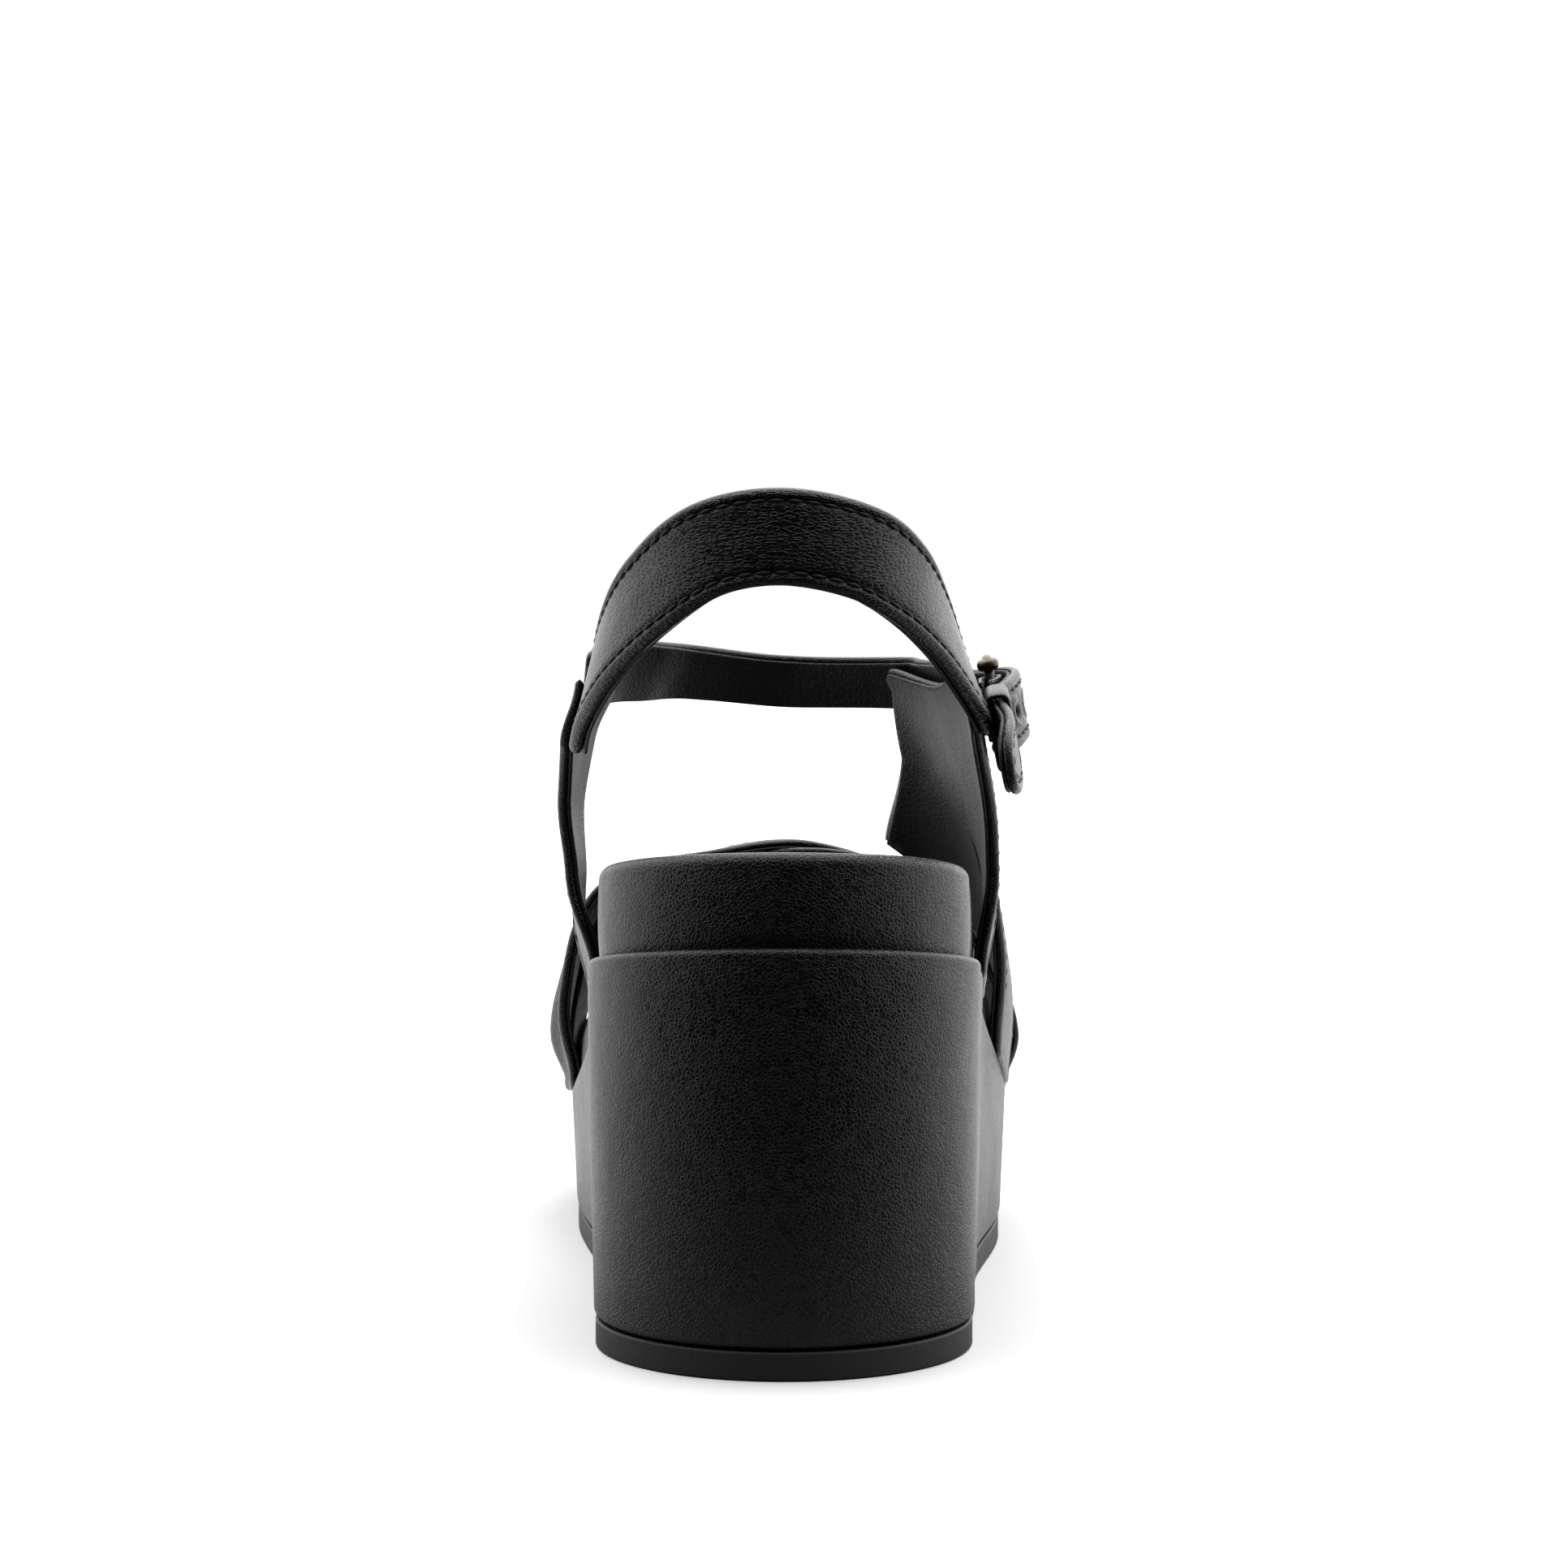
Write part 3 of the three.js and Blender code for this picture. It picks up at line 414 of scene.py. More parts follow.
def turned_edge(distance, thickness, groove):
    """Half thickness and outer puff of a folded leather edge at a distance from its outline."""
    radius = thickness * 0.5
    inner = np.minimum(distance, radius)
    half = thickness / 2 * np.sqrt(np.clip(1 - ((radius - inner) / radius) ** 2, 0, 1))
    puff = PUFF["height"] * np.exp(-((distance - PUFF["inset"]) / PUFF["width"]) ** 2)
    return half, puff - groove * np.exp(-((distance - STITCH_INSET) / GROOVE_WIDTH) ** 2)


def signed_volume(points, faces):
    triangles = np.array([face[:3] for face in faces])
    a, b, c = points[triangles[:, 0]], points[triangles[:, 1]], points[triangles[:, 2]]
    return float(np.einsum("ij,ij->i", a, np.cross(b, c)).sum())


def facing_out(points, faces):
    """The faces of a closed shape, turned over if they look inward."""
    return [face[::-1] for face in faces] if signed_volume(points, faces) < 0 else faces


def leather_panel(name, loops, surface, low, high, spacing=1.7, groove=0.2, relief=None):
    """A closed leather piece over a surface, from one offset to another, with rounded edges.

    surface(u, v) gives a point and its normal; relief(u, v) adds to both faces' offset.
    """
    flat, triangles, distance = fill_outline(loops, spacing)
    half, extra = turned_edge(distance, high - low, groove)
    middle = (low + high) / 2
    outer, inner, index_in = [], [], {}
    border = distance < BORDER
    for i, (u, v) in enumerate(flat):
        point, normal = surface(u, v)
        shift = middle + (relief(u, v) if relief else 0.0)
        if border[i]:
            outer.append(point + shift * normal)
            continue
        outer.append(point + (shift + half[i] + extra[i]) * normal)
        index_in[i] = len(flat) + len(inner)
        inner.append(point + (shift - half[i]) * normal)
    faces = [tuple(t) for t in triangles]
    faces += [tuple(index_in.get(i, i) for i in t[::-1]) for t in triangles]
    edge = np.concatenate([distance, distance[~border]])
    used = sorted({i for face in faces for i in face})
    place = {old: new for new, old in enumerate(used)}
    points = np.array(outer + inner)[used]
    faces = [tuple(place[i] for i in face) for face in faces]
    return new_object(name, points, facing_out(points, faces), edge[used])


def swept_faces(count, size, closed=False, base=0):
    """Faces round a bar of rings with so many points each, with end caps unless it is closed."""
    faces = []
    for i in range(count if closed else count - 1):
        low, high = base + i * size, base + (i + 1) % count * size
        faces += [(low + k, low + (k + 1) % size, high + (k + 1) % size, high + k)
                  for k in range(size)]
    if not closed:
        last = base + (count - 1) * size
        faces.append(tuple(base + k for k in reversed(range(size))))
        faces.append(tuple(last + k for k in range(size)))
    return faces


THREAD = {"pitch": 3.0, "length": 2.3, "radius": 0.27, "rise": 0.16, "sink": 0.05, "rows": 5,
          "sides": 6}


def stitched_line(name, path):
    """A row of stitches along a path of (point, normal) pairs, each a small bowed capsule."""
    points, normals = (np.array(column) for column in zip(*path))
    lengths = run_lengths(points)
    vertices, faces = [], []
    rows, sides = THREAD["rows"], THREAD["sides"]
    for k in range(int(lengths[-1] / THREAD["pitch"])):
        start = (k + 0.5) * THREAD["pitch"] - THREAD["length"] / 2
        faces += swept_faces(rows, sides, base=len(vertices))
        for row in range(rows):
            share = row / (rows - 1)
            s = start + share * THREAD["length"]
            centre = interpolated(s, lengths, points)
            normal = unit(interpolated(s, lengths, normals))
            across = np.cross(interpolated(s + 0.2, lengths, points) - centre, normal)
            across /= max(np.linalg.norm(across), 1e-9)
            size = THREAD["radius"] * (0.35 + 0.65 * math.sin(math.pi * (0.12 + 0.76 * share)))
            lift = THREAD["rise"] * math.sin(math.pi * share) - THREAD["sink"]
            for side in range(sides):
                turn = 2 * math.pi * side / sides
                vertices.append(centre + (lift + size * math.cos(turn)) * normal
                                + size * math.sin(turn) * across)
    return new_object(name, vertices, faces)


# --- sole meshes

STATIONS = 150


def sole_ring(inset, height):
    """Points round the sole's edge, from the heel along the inner side to the toe and back."""
    length = TOE - HEEL_BACK - 2 * inset
    ys = [HEEL_BACK + inset + length * (1 - math.cos(math.pi * i / STATIONS)) / 2
          for i in range(STATIONS + 1)]

    def edge(side, y):
        return centre_line(y) + side["sign"] * half_width(side, y, inset), y, height(y)

    return [edge(MEDIAL, y) for y in ys] + [edge(LATERAL, y) for y in ys[-2:0:-1]]


def ring_faces(low, high, size):
    return [(low + i, high + i, high + (i + 1) % size, low + (i + 1) % size) for i in range(size)]


def cap_faces(start, size):
    """Faces across a ring, between the points that share a station."""
    pairs = [((size - i) % size, size - i - 1) for i in range(STATIONS)]
    faces = [(start + i, start + i + 1, start + right_next, start + right)
             for i, (right, right_next) in enumerate(pairs)]
    return [tuple(dict.fromkeys(face)) for face in faces]


def sole_piece(name, profile, closed, wobble=0.0):
    """A piece of the sole through (inset, height function) rings: a band, or a slab with caps."""
    rings = [sole_ring(inset, height) for inset, height in profile]
    size, count = len(rings[0]), len(rings)
    points = np.array([point for ring in rings for point in ring])
    faces = []
    for k in range(count if closed else count - 1):
        faces += ring_faces(k * size, ((k + 1) % count) * size, size)
    if not closed:
        faces += cap_faces(0, size)
        faces += [face[::-1] for face in cap_faces((count - 1) * size, size)]
    if wobble:
        points = points + np.array([leather_wobble(point, wobble) for point in points])
    return new_object(name, points, facing_out(points, faces))


WOBBLE_SCALE = 26
noise.seed_set(1)  # unseeded, noise_vector is set by the clock and differs from run to run


def leather_wobble(point, amount):
    """The slight unevenness of leather stretched over a form."""
    return np.array(noise.noise_vector(Vector(point) / WOBBLE_SCALE)) * amount


def lifted(height, amount):
    return lambda y: height(y) + amount


def between(low, high, share):
    return lambda y: low(y) + share * (high(y) - low(y))


def arc(inset, radius, base, from_deg, to_deg, steps):
    """Rings of a rounded edge: degrees turn from outward (0) to up (90)."""
    rings = []
    for i in range(steps + 1):
        turn = math.radians(from_deg + (to_deg - from_deg) * i / steps)
        rings.append((inset - radius * math.cos(turn), lifted(base, radius * math.sin(turn))))
    return rings


SOLE_TOP = lifted(spring_at, OUTSOLE_THICKNESS)
WEDGE_TAPER = 1.0


def make_wedge_cover():
    bottom = lifted(SOLE_TOP, GAP)
    turn, crown, lip, inner = 1.5, 1.3, 0.25, 5.0
    rings = arc(WEDGE_TAPER + turn, turn, lifted(bottom, turn), -90, 0, 6)
    side_low, side_high = lifted(bottom, turn), lifted(wedge_top, -crown)
    for share in (0.1, 0.3, 0.5, 0.7, 0.9):
        rings.append((WEDGE_TAPER * (1 - share), between(side_low, side_high, share)))
    rings += arc(crown, crown, lifted(wedge_top, lip - crown), 0, 90, 5)
    rings += [(inner, lifted(wedge_top, lip)), (inner, lifted(bottom, turn)),
              (WEDGE_TAPER + 3.2, bottom)]
    return sole_piece("wedge_cover", rings, closed=True, wobble=0.16)


def make_footbed_band():
    """The leather round the footbed, its lower edge just behind the wedge cover's rim."""
    bottom = lifted(wedge_top, -0.7)
    crown, belly, foot = 2.4, 0.25, 0.8
    side = lifted(footbed_top, -crown)
    rings = [(FOOTBED_INSET + 0.5, bottom), (FOOTBED_INSET + 0.1, lifted(bottom, foot))]
    rings += [(FOOTBED_INSET - belly * math.sin(math.pi * share),
               between(lifted(bottom, foot), side, share))
              for share in (0.2, 0.4, 0.6, 0.8)]
    rings += arc(FOOTBED_INSET + crown, crown, lifted(footbed_top, -crown), 0, 90, 7)
    rings += [(FOOTBED_INSET + inset, lifted(footbed_top, -drop))
              for inset, drop in ((4.3, 0.25), (4.5, 2.2), (1.4, 3.4))]
    rings += [(FOOTBED_INSET + 1.4, bottom)]
    return sole_piece("footbed_band", rings, closed=True, wobble=0.14)


def make_sock():
    """The leather under the foot, dished a little where the heel and ball rest."""
    def dished(depth):
        return lambda y: footbed_top(y) - 0.35 - depth * (0.5 + 0.5 * math.cos((y - 5) / 36))
    edge = FOOTBED_INSET + 4.6
    rings = [(edge, lifted(footbed_top, -2.4)), (edge, lifted(footbed_top, -1.1)),
             (edge + 0.4, lifted(footbed_top, -0.5))]
    rings += [(edge + inset, dished(depth)) for inset, depth in
              ((1.2, 0.0), (3, 0.1), (6, 0.3), (10, 0.6), (14, 0.8), (18, 0.95), (22, 1.0))]
    return sole_piece("sock_cover", rings, closed=False)


TREAD = {"width": 2.4, "depth": 1.4, "pitch": 9, "from_y": 66, "count": 10, "length": 63.2}
BOX_FACES = ((0, 2, 3, 1), (4, 5, 7, 6), (0, 1, 5, 4), (2, 6, 7, 3), (0, 4, 6, 2), (1, 3, 7, 5))
CREASE_ANGLE = 40


def make_rubber_sole():
    """The outsole, inset under the wedge, with grooves cut across its underside."""
    inset, bevel, rim = 1.3, 0.35, 0.3
    rings = [(inset + bevel, spring_at), (inset, lifted(spring_at, bevel)),
             (inset, between(spring_at, SOLE_TOP, 0.5)), (inset, lifted(SOLE_TOP, -rim)),
             (inset + rim, SOLE_TOP)]
    sole = sole_piece("rubber_sole", rings, closed=False)
    vertices, faces = [], []
    for k in range(TREAD["count"]):
        y = TREAD["from_y"] + k * TREAD["pitch"]
        faces += [tuple(len(vertices) + i for i in face) for face in BOX_FACES]
        heights = (-2, spring_at(y) + TREAD["depth"])
        vertices += [(centre_line(y) + dx * TREAD["length"] / 2, y + dy * TREAD["width"] / 2, z)
                     for z in heights for dy in (-1, 1) for dx in (-1, 1)]
    cutter = new_object("tread_cutter", vertices, faces)
    cut = sole.modifiers.new("tread", "BOOLEAN")
    cut.object, cut.operation, cut.solver = cutter, "DIFFERENCE", "EXACT"
    graph = bpy.context.evaluated_depsgraph_get()
    made = bpy.data.meshes.new_from_object(sole.evaluated_get(graph))
    sole.modifiers.clear()
    old, sole.data = sole.data, made
    bpy.data.meshes.remove(old)
    bpy.data.objects.remove(cutter)
    made.polygons.foreach_set("use_smooth", [True] * len(made.polygons))
    made.set_sharp_from_angle(angle=math.radians(CREASE_ANGLE))
    return sole


# --- upper

TUCK = 0.7
LEAST_ANGLE = 0.04


def quadratic(a, control, b, steps=14):
    """Points of a quadratic curve, without its last."""
    a, control, b = (np.array(p, float) for p in (a, control, b))
    shares = (i / steps for i in range(steps))
    return [(1 - t) ** 2 * a + 2 * t * (1 - t) * control + t * t * b for t in shares]


def bends(start, *curves):
    """Points of quadratic curves end to end, without the last: each is (control, end, steps)."""
    points = []
    for control, end, *steps in curves:
        points += quadratic(start, control, end, *steps)
        start = end
    return points


def held(angle):
    """An angle kept off the sole's edges, where the foot has no clear normal."""
    return min(math.pi - LEAST_ANGLE, max(LEAST_ANGLE, angle))


def side_surface(side):
    """Surface over one side of the foot: u is Y, v is the height."""
    edge = 0 if side is LATERAL else math.pi

    def surface(y, z):
        floor = wedge_top(y)
        if z < floor + 0.05:
            return foot_point(y, edge) + [0, 0, z - floor], foot_normal(y, held(edge))
        angle = angle_at_height(side, y, z)
        return foot_point(y, angle), foot_normal(y, held(angle))
    return surface


def tucked_foot(from_y, to_y, steps=8):
    """The lower edge of a piece, just under the wedge's rim."""
    ys = [from_y + (to_y - from_y) * i / steps for i in range(steps)]
    return [np.array([y, wedge_top(y) - TUCK]) for y in ys]


LEGS = {"rear": 26, "rear_width": 20, "front": 78, "front_width": 22, "apex": 62, "apex_rise": 21}


FLAP_TOP = {"corner_y": 70.5, "corner_z": 113.8, "crest_y": 36, "crest_z": 116.5, "merge_y": 4,
            "merge_z": 110.5, "rear_z": 104}
WAIST = (84, 97)
KNEE = (102.5, 78.8)


def lateral_outline():
    """The outer flap, from its joint with the heel strap round its two legs to its crest."""
    rear_end = LEGS["rear"] + LEGS["rear_width"]
    front_end = LEGS["front"] + LEGS["front_width"]
    apex = (LEGS["apex"], footbed_top(LEGS["apex"]) + LEGS["apex_rise"])
    merge = (FLAP_TOP["merge_y"], FLAP_TOP["merge_z"])
    low = (LEGS["rear"], footbed_top(LEGS["rear"]))
    corner = (FLAP_TOP["corner_y"], FLAP_TOP["corner_z"])
    crest = (FLAP_TOP["crest_y"], FLAP_TOP["crest_z"])
    turn_from, turn_to = (corner[0] + 1.5, corner[1] - 3.5), (corner[0] - 3, corner[1] - 0.4)
    loop = bends((merge[0], FLAP_TOP["rear_z"]), ((low[0] - 1, FLAP_TOP["rear_z"] - 12), low))
    loop += [np.array(low), *tucked_foot(LEGS["rear"], rear_end)]
    loop += [np.array([rear_end, wedge_top(rear_end) - TUCK])]
    loop += bends((rear_end, wedge_top(LEGS["rear"])), ((apex[0] - 12, apex[1] - 12), apex),
                  ((apex[0] + 8, apex[1] - 18), (LEGS["front"], wedge_top(LEGS["front"]))))
    loop += tucked_foot(LEGS["front"], front_end)
    loop += bends((front_end, wedge_top(front_end) - TUCK),
                  ((KNEE[0] + 2, KNEE[1] - 11), KNEE),
                  ((WAIST[0] + 9, WAIST[1] - 9.6), WAIST),
                  ((WAIST[0] - 6, corner[1] - 8), turn_from),
                  (corner, turn_to, 5),
                  ((crest[0] + 12, corner[1] - 5.3), crest),
                  ((crest[0] - 10, crest[1] + 0.5), merge))
    return np.array(loop + [np.array(merge)])


INNER = {"foot": 27, "width": 34, "top": 16, "top_width": 30, "top_z": 116, "rear_z": 101}


def medial_outline():
    """The inner quarter: one slanting strap that carries the heel strap and the instep strap."""
    foot, top, rear_z, top_z = (INNER[key] for key in ("foot", "top", "rear_z", "top_z"))
    end = foot + INNER["width"]
    low = (foot, footbed_top(foot) - 6)
    front, rear = (top + INNER["top_width"], rear_z + 5), (top - 4, rear_z + 12)
    loop = bends((top, rear_z), ((foot + 2, rear_z - 10), low))
    loop += [np.array(low), *tucked_foot(foot, end), np.array([end, wedge_top(end) - TUCK])]
    loop += bends((end, wedge_top(end)), ((end - 18, rear_z - 14), front),
                  ((front[0] + 2, top_z - 3), (front[0] - 5, top_z), 6),
                  ((top + 8, top_z - 6), rear, 12))
    return np.array(loop + [np.array(rear)])


VAMP = {"start": 106, "start_width": 40, "end": 126, "end_width": 37, "rear": 113, "front": 150}
VAMP_REACH = 70
HUMP = {"rise": 6.0, "u": 101, "width": 15, "y": 108, "length": 17}
FOLD = {"height": 0.75, "pitch": 15, "fade": 26, "slant": 0.05}


ARCH_LENGTH = 132


def vamp_edge(side, x, front):
    """Y of a vamp band's rear or front edge at a distance across the foot."""
    t = (1 - x / (VAMP_REACH * side["sign"])) / 2
    start, end = VAMP["start"], VAMP["end"]
    control = VAMP["rear"] - 6
    if front:
        start, end = start + VAMP["start_width"], end + VAMP["end_width"]
        control = VAMP["front"] + 4
    return (1 - t) ** 2 * start + 2 * t * (1 - t) * control + t * t * end


def vamp_outline(side):
    """The outline in the plane of arch length and Y, down to just under the wedge's rim."""
    def edge_y(u, front):
        y = VAMP["rear"]
        for _ in range(12):
            y = vamp_edge(side, foot_point(y, arch_angle(u))[0], front)
        return y
    us = np.linspace(-TUCK, ARCH_LENGTH + TUCK, 60)
    return np.array([(u, edge_y(u, False)) for u in us] + [(u, edge_y(u, True)) for u in us[::-1]])


def arch_angle(u):
    return math.pi * clamp01(u / ARCH_LENGTH)


def vamp_surface(u, y):
    angle = arch_angle(u)
    below = min(u, ARCH_LENGTH - u, 0)
    return foot_point(y, angle) + [0, 0, below], foot_normal(y, held(angle))


def vamp_relief(side, lift, inset):
    """How far a band stands off the foot: over the band beneath it, and in soft gathered folds."""
    other = LATERAL if side is MEDIAL else MEDIAL

    def relief(u, y):
        x = foot_point(y, arch_angle(u))[0]
        rear, front = vamp_edge(other, x, False), vamp_edge(other, x, True)
        over = smooth((y - rear + 4) / 6) * smooth((front + 4 - y) / 6)
        rise = min(u, ARCH_LENGTH - u)
        tuck = 0.45 + 0.55 * smooth(rise / 9)
        fold = math.sin(rise / FOLD["pitch"] * math.pi + FOLD["slant"] * (y - 120))
        fold *= FOLD["height"] * math.exp(-rise / FOLD["fade"]) * smooth(rise / 5)
        crease = 0.35 * noise.noise(Vector((u / 19, y / 9, 3.0 + side["sign"])))
        across_share = ((u - HUMP["u"]) / HUMP["width"]) ** 2
        hump = HUMP["rise"] * math.exp(-across_share - ((y - HUMP["y"]) / HUMP["length"]) ** 2)
        return lift * over * tuck + hump + fold + crease * smooth(rise / 12) - inset * (1 - tuck)
    return relief


def edge_path(loop, surface, offset, inset, relief=None, keep=None):
    """(point, normal) pairs along a line set in from a loop, split where keep(u, v) is false."""
    line = resample(shrink(np.asarray(loop, float), inset), 1.0)
    gaps = distance_to_outline(line, [np.asarray(loop, float)])
    paths, current = [], []
    for (u, v), gap in zip(line, gaps):
        if gap < 0.85 * inset or (keep and not keep(u, v)):
            paths.append(current)
            current = []
            continue
        point, normal = surface(u, v)
        lift = offset + (relief(u, v) if relief else 0)
        current.append((point + lift * normal, normal))
    paths.append(current)
    return [path for path in paths if len(path) > 5]


def join(things, name):
    """Joins mesh objects into one."""
    for thing in bpy.context.scene.objects:
        thing.select_set(False)
    for thing in things:
        thing.select_set(True)
    bpy.context.view_layer.objects.active = things[0]
    bpy.ops.object.join()
    things[0].name = name
    things[0].data.name = name
    return things[0]


THREAD_SINK = 0.12


def stitches_for(name, loop, surface, offset, relief=None, keep=None):
    paths = edge_path(loop, surface, offset, STITCH_INSET, relief, keep)
    rows = [stitched_line(f"{name}_{i}", path) for i, path in enumerate(paths)]
    return join(rows, name)


# --- heel strap

HEEL_STRAP = {"width": 15.8, "top_z": 144.4, "thickness": 2.35, "crown": 0.35, "corner": 3.0}


def heel_strap_curve():
    """The strap round the heel, from the inner quarter to the flap."""
    stops = []
    # drop is below the strap's middle at the back, lean tips it outward, out moves it off its line
    for x, y, drop, lean, out in ((-32.2, 15.5, 31.6, 0.24, 0), (-31.4, 8, 26.6, 0.28, 0),
                                  (-27.6, -5.5, 17.7, 0.25, 0), (-21, -17, 9.2, 0.14, 0),
                                  (-11, -26.2, 1.8, 0.04, 0), (0, -28.6, 0, 0, 0),
                                  (12.2, -25.3, 2.7, 0.08, 0), (18.8, -18.8, 7.4, 0.24, 0),
                                  (24.2, -9.2, 14.3, 0.4, 0), (29.0, 2.4, 23.8, 0.45, 0.2),
                                  (31.2, 8.4, 29.2, 0.4, 0.4)):
        level = unit(np.array([x, (y - 8) * 0.9, 0.0]))
        normal = unit(level + [0, 0, lean])
        middle = HEEL_STRAP["top_z"] - HEEL_STRAP["width"] / 2
        stops.append((np.array([x, y, middle - drop]) + out * normal, normal))
    return StrapCurve(stops)


def strap_loop(start, end, half, tip=0.0, corner=2.0):
    """A strap's outline: small round corners at its start, and a rounded tip if asked."""
    straight = (end - tip - start - corner) if tip else (end - start - 2 * corner)
    loop = quadratic((start, -half + corner), (start, -half), (start + corner, -half), 5)
    loop += [np.array([start + corner + straight * i / 40, -half]) for i in range(40)]
    if tip:
        turns = np.linspace(0, math.pi / 2, 12)
        for sign, angles in ((-1, turns), (1, turns[:-1][::-1])):
            loop += [np.array([end - tip + tip * math.sin(a), sign * half * math.cos(a) ** 0.8])
                     for a in angles]
    else:
        loop += quadratic((end - corner, -half), (end, -half), (end, -half + corner), 5)
        loop += quadratic((end, half - corner), (end, half), (end - corner, half), 5)
    loop += quadratic((start + corner, half), (start, half), (start, half - corner), 5)
    return np.array(loop + [np.array([start, half - corner])])


def strap_wrinkles(u, v):
    """Fine creases along a padded strap, deeper towards its middle."""
    crease = noise.noise(Vector((u / 17, v / 2.1, 7.0)))
    return 0.13 * crease + 0.1 * noise.noise(Vector((u / 40, v / 6, 2.0)))


def make_heel_strap():
    """The padded strap's leather, its lining and its stitches."""
    curve = heel_strap_curve()
    half = HEEL_STRAP["width"] / 2
    top = LINING + HEEL_STRAP["thickness"]
    loop = strap_loop(0, curve.length, half, corner=HEEL_STRAP["corner"])
    crown = lambda u, v: HEEL_STRAP["crown"] * (1 - (v / half) ** 2) + strap_wrinkles(u, v)
    outer = leather_panel("heel_strap", [loop], curve, LINING, top, 1.5, 0.42, crown)
    inner_loop = strap_loop(0.5, curve.length - 0.5, half - 0.5)
    inner = leather_panel("heel_strap_backing", [inner_loop], curve, 0, LINING - 0.05, 2.4, 0)
    return outer, inner, stitches_for("heel_strap_thread", loop, curve, top - THREAD_SINK, crown)


# --- instep strap

PIN = {"y": 31, "z": 107, "radius": 0.9, "tilt": 1.4, "slope": 0.08}
KEEPER = {"y": 12, "z": 103.5, "length": 7, "wall": 0.8, "room": 0.25, "lift": 0.4, "tilt": 0.4,
          "slope": 0.26}
INSTEP = {"width": 12.4, "z": 113, "tip": 8.0}
FRAME = {"section": 2.0, "reach": 12.6, "margin": 0.75}
CHAPE = {"leather": 1.0, "reach": 8.0}
OVER_FLAP = UPPER + 1.5 * GAP + INSTEP["width"] ** 2 / (8 * 40)
PIN_OFFSET = OVER_FLAP + UPPER + GAP + FRAME["section"] / 2 - PIN["tilt"] + FRAME["margin"]
OVER_PIN = PIN_OFFSET + PIN["radius"] + CHAPE["leather"] + 2.6 * GAP
OVER_KEEPER = OVER_FLAP + KEEPER["lift"] + KEEPER["wall"] + KEEPER["room"]
ROOT_LIFT = UPPER + 0.2


def instep_curve():
    """The strap's path: its root on the medial quarter, over the foot, to its loose tip."""
    ridge_y = 80
    ridge_normal = foot_normal(ridge_y, math.pi / 2)
    ridge = (foot_point(ridge_y, math.pi / 2) + 2 * GAP * ridge_normal, ridge_normal)
    z = INSTEP["z"]
    return StrapCurve([
        on_foot(MEDIAL, 40, z - 2.0, ROOT_LIFT),
        on_foot(MEDIAL, 46, z - 0.6, ROOT_LIFT),
        on_foot(MEDIAL, 54, z, 2.2),
        on_foot(MEDIAL, 63, z, 0.7),
        on_foot(MEDIAL, 71, z, 0),
        ridge,
        on_foot(LATERAL, FLAP_TOP["corner_y"], z - 4.5, OVER_FLAP + 2 * GAP),
        *[on_foot(LATERAL, y, z - 4.5, OVER_FLAP) for y in (65, 58, 51)],
        on_foot(LATERAL, PIN["y"] + FRAME["reach"], PIN["z"] + 0.6, OVER_FLAP),
        on_foot(LATERAL, PIN["y"], PIN["z"], OVER_PIN),
        on_foot(LATERAL, PIN["y"] - CHAPE["reach"] - 1, PIN["z"] - 1.4, PIN_OFFSET + 0.9),
        on_foot(LATERAL, KEEPER["y"] + 4, KEEPER["z"] + 1.1, OVER_KEEPER + 0.2),
        on_foot(LATERAL, KEEPER["y"] - 4, KEEPER["z"] - 1.1, OVER_KEEPER + 0.1),
        on_foot(LATERAL, KEEPER["y"] - 11, KEEPER["z"] - 3, OVER_KEEPER + 0.3),
        on_foot(LATERAL, KEEPER["y"] - 21, KEEPER["z"] - 6.5, OVER_KEEPER - 0.8),
    ])


def circle(centre_u, radius, count):
    turns = (2 * math.pi * i / count for i in range(count))
    return np.array([(centre_u + radius * math.cos(a), radius * math.sin(a)) for a in turns])


HOLES = {"radius": 1.0, "pitch": 7.5, "at": (-2, -1, 1, 2), "back": 5}
SLOT = ((1, -1.3), (9, -1.3), (9.7, 0), (9, 1.3), (1, 1.3), (0.4, 0))


def make_instep_strap():
    """The strap's leather with a slot for the prong and punched holes, its lining and stitches."""
    curve = instep_curve()
    pin_u = curve.at(on_foot(LATERAL, PIN["y"], PIN["z"], OVER_PIN)[0])
    half = INSTEP["width"] / 2
    loop = strap_loop(0, curve.length, half, INSTEP["tip"])
    slot = np.array([(pin_u - u, v) for u, v in SLOT])

    def holes(radius, count):
        middle = pin_u - HOLES["back"]
        return [circle(middle + k * HOLES["pitch"], radius, count) for k in HOLES["at"]]

    outer = leather_panel("instep_strap", [loop, slot, *holes(HOLES["radius"], 14)], curve, LINING,
                          UPPER, 1.5)
    inner_loop = strap_loop(0.4, curve.length - 0.4, half - 0.35, INSTEP["tip"])
    inner_loops = [inner_loop, slot, *holes(HOLES["radius"] + 0.15, 10)]
    inner = leather_panel("instep_strap_backing", inner_loops, curve, 0, LINING - 0.05, 2.2, 0)
    return outer, inner, stitches_for("instep_strap_thread", loop, curve, UPPER - 0.1)


# --- buckle, chape and keeper

class Fitting:
    """Axes lying on the lateral side: x outward, y forward along the strap, z across it."""

    def __init__(self, spot, offset):
        self.origin, normal = on_foot(LATERAL, spot["y"], spot["z"], offset)
        ahead = on_foot(LATERAL, spot["y"] + 4, spot["z"] + 4 * spot["slope"], offset)[0]
        forward = ahead - self.origin
        forward = unit(forward - (forward @ normal) * normal)
        self.forward = unit(forward * FRAME["reach"] + normal * spot["tilt"])
        self.normal = unit(normal - (normal @ self.forward) * self.forward)
        self.across = np.cross(self.normal, self.forward)

    def place(self, points):
        return [self.origin + x * self.normal + y * self.forward + z * self.across
                for x, y, z in points]


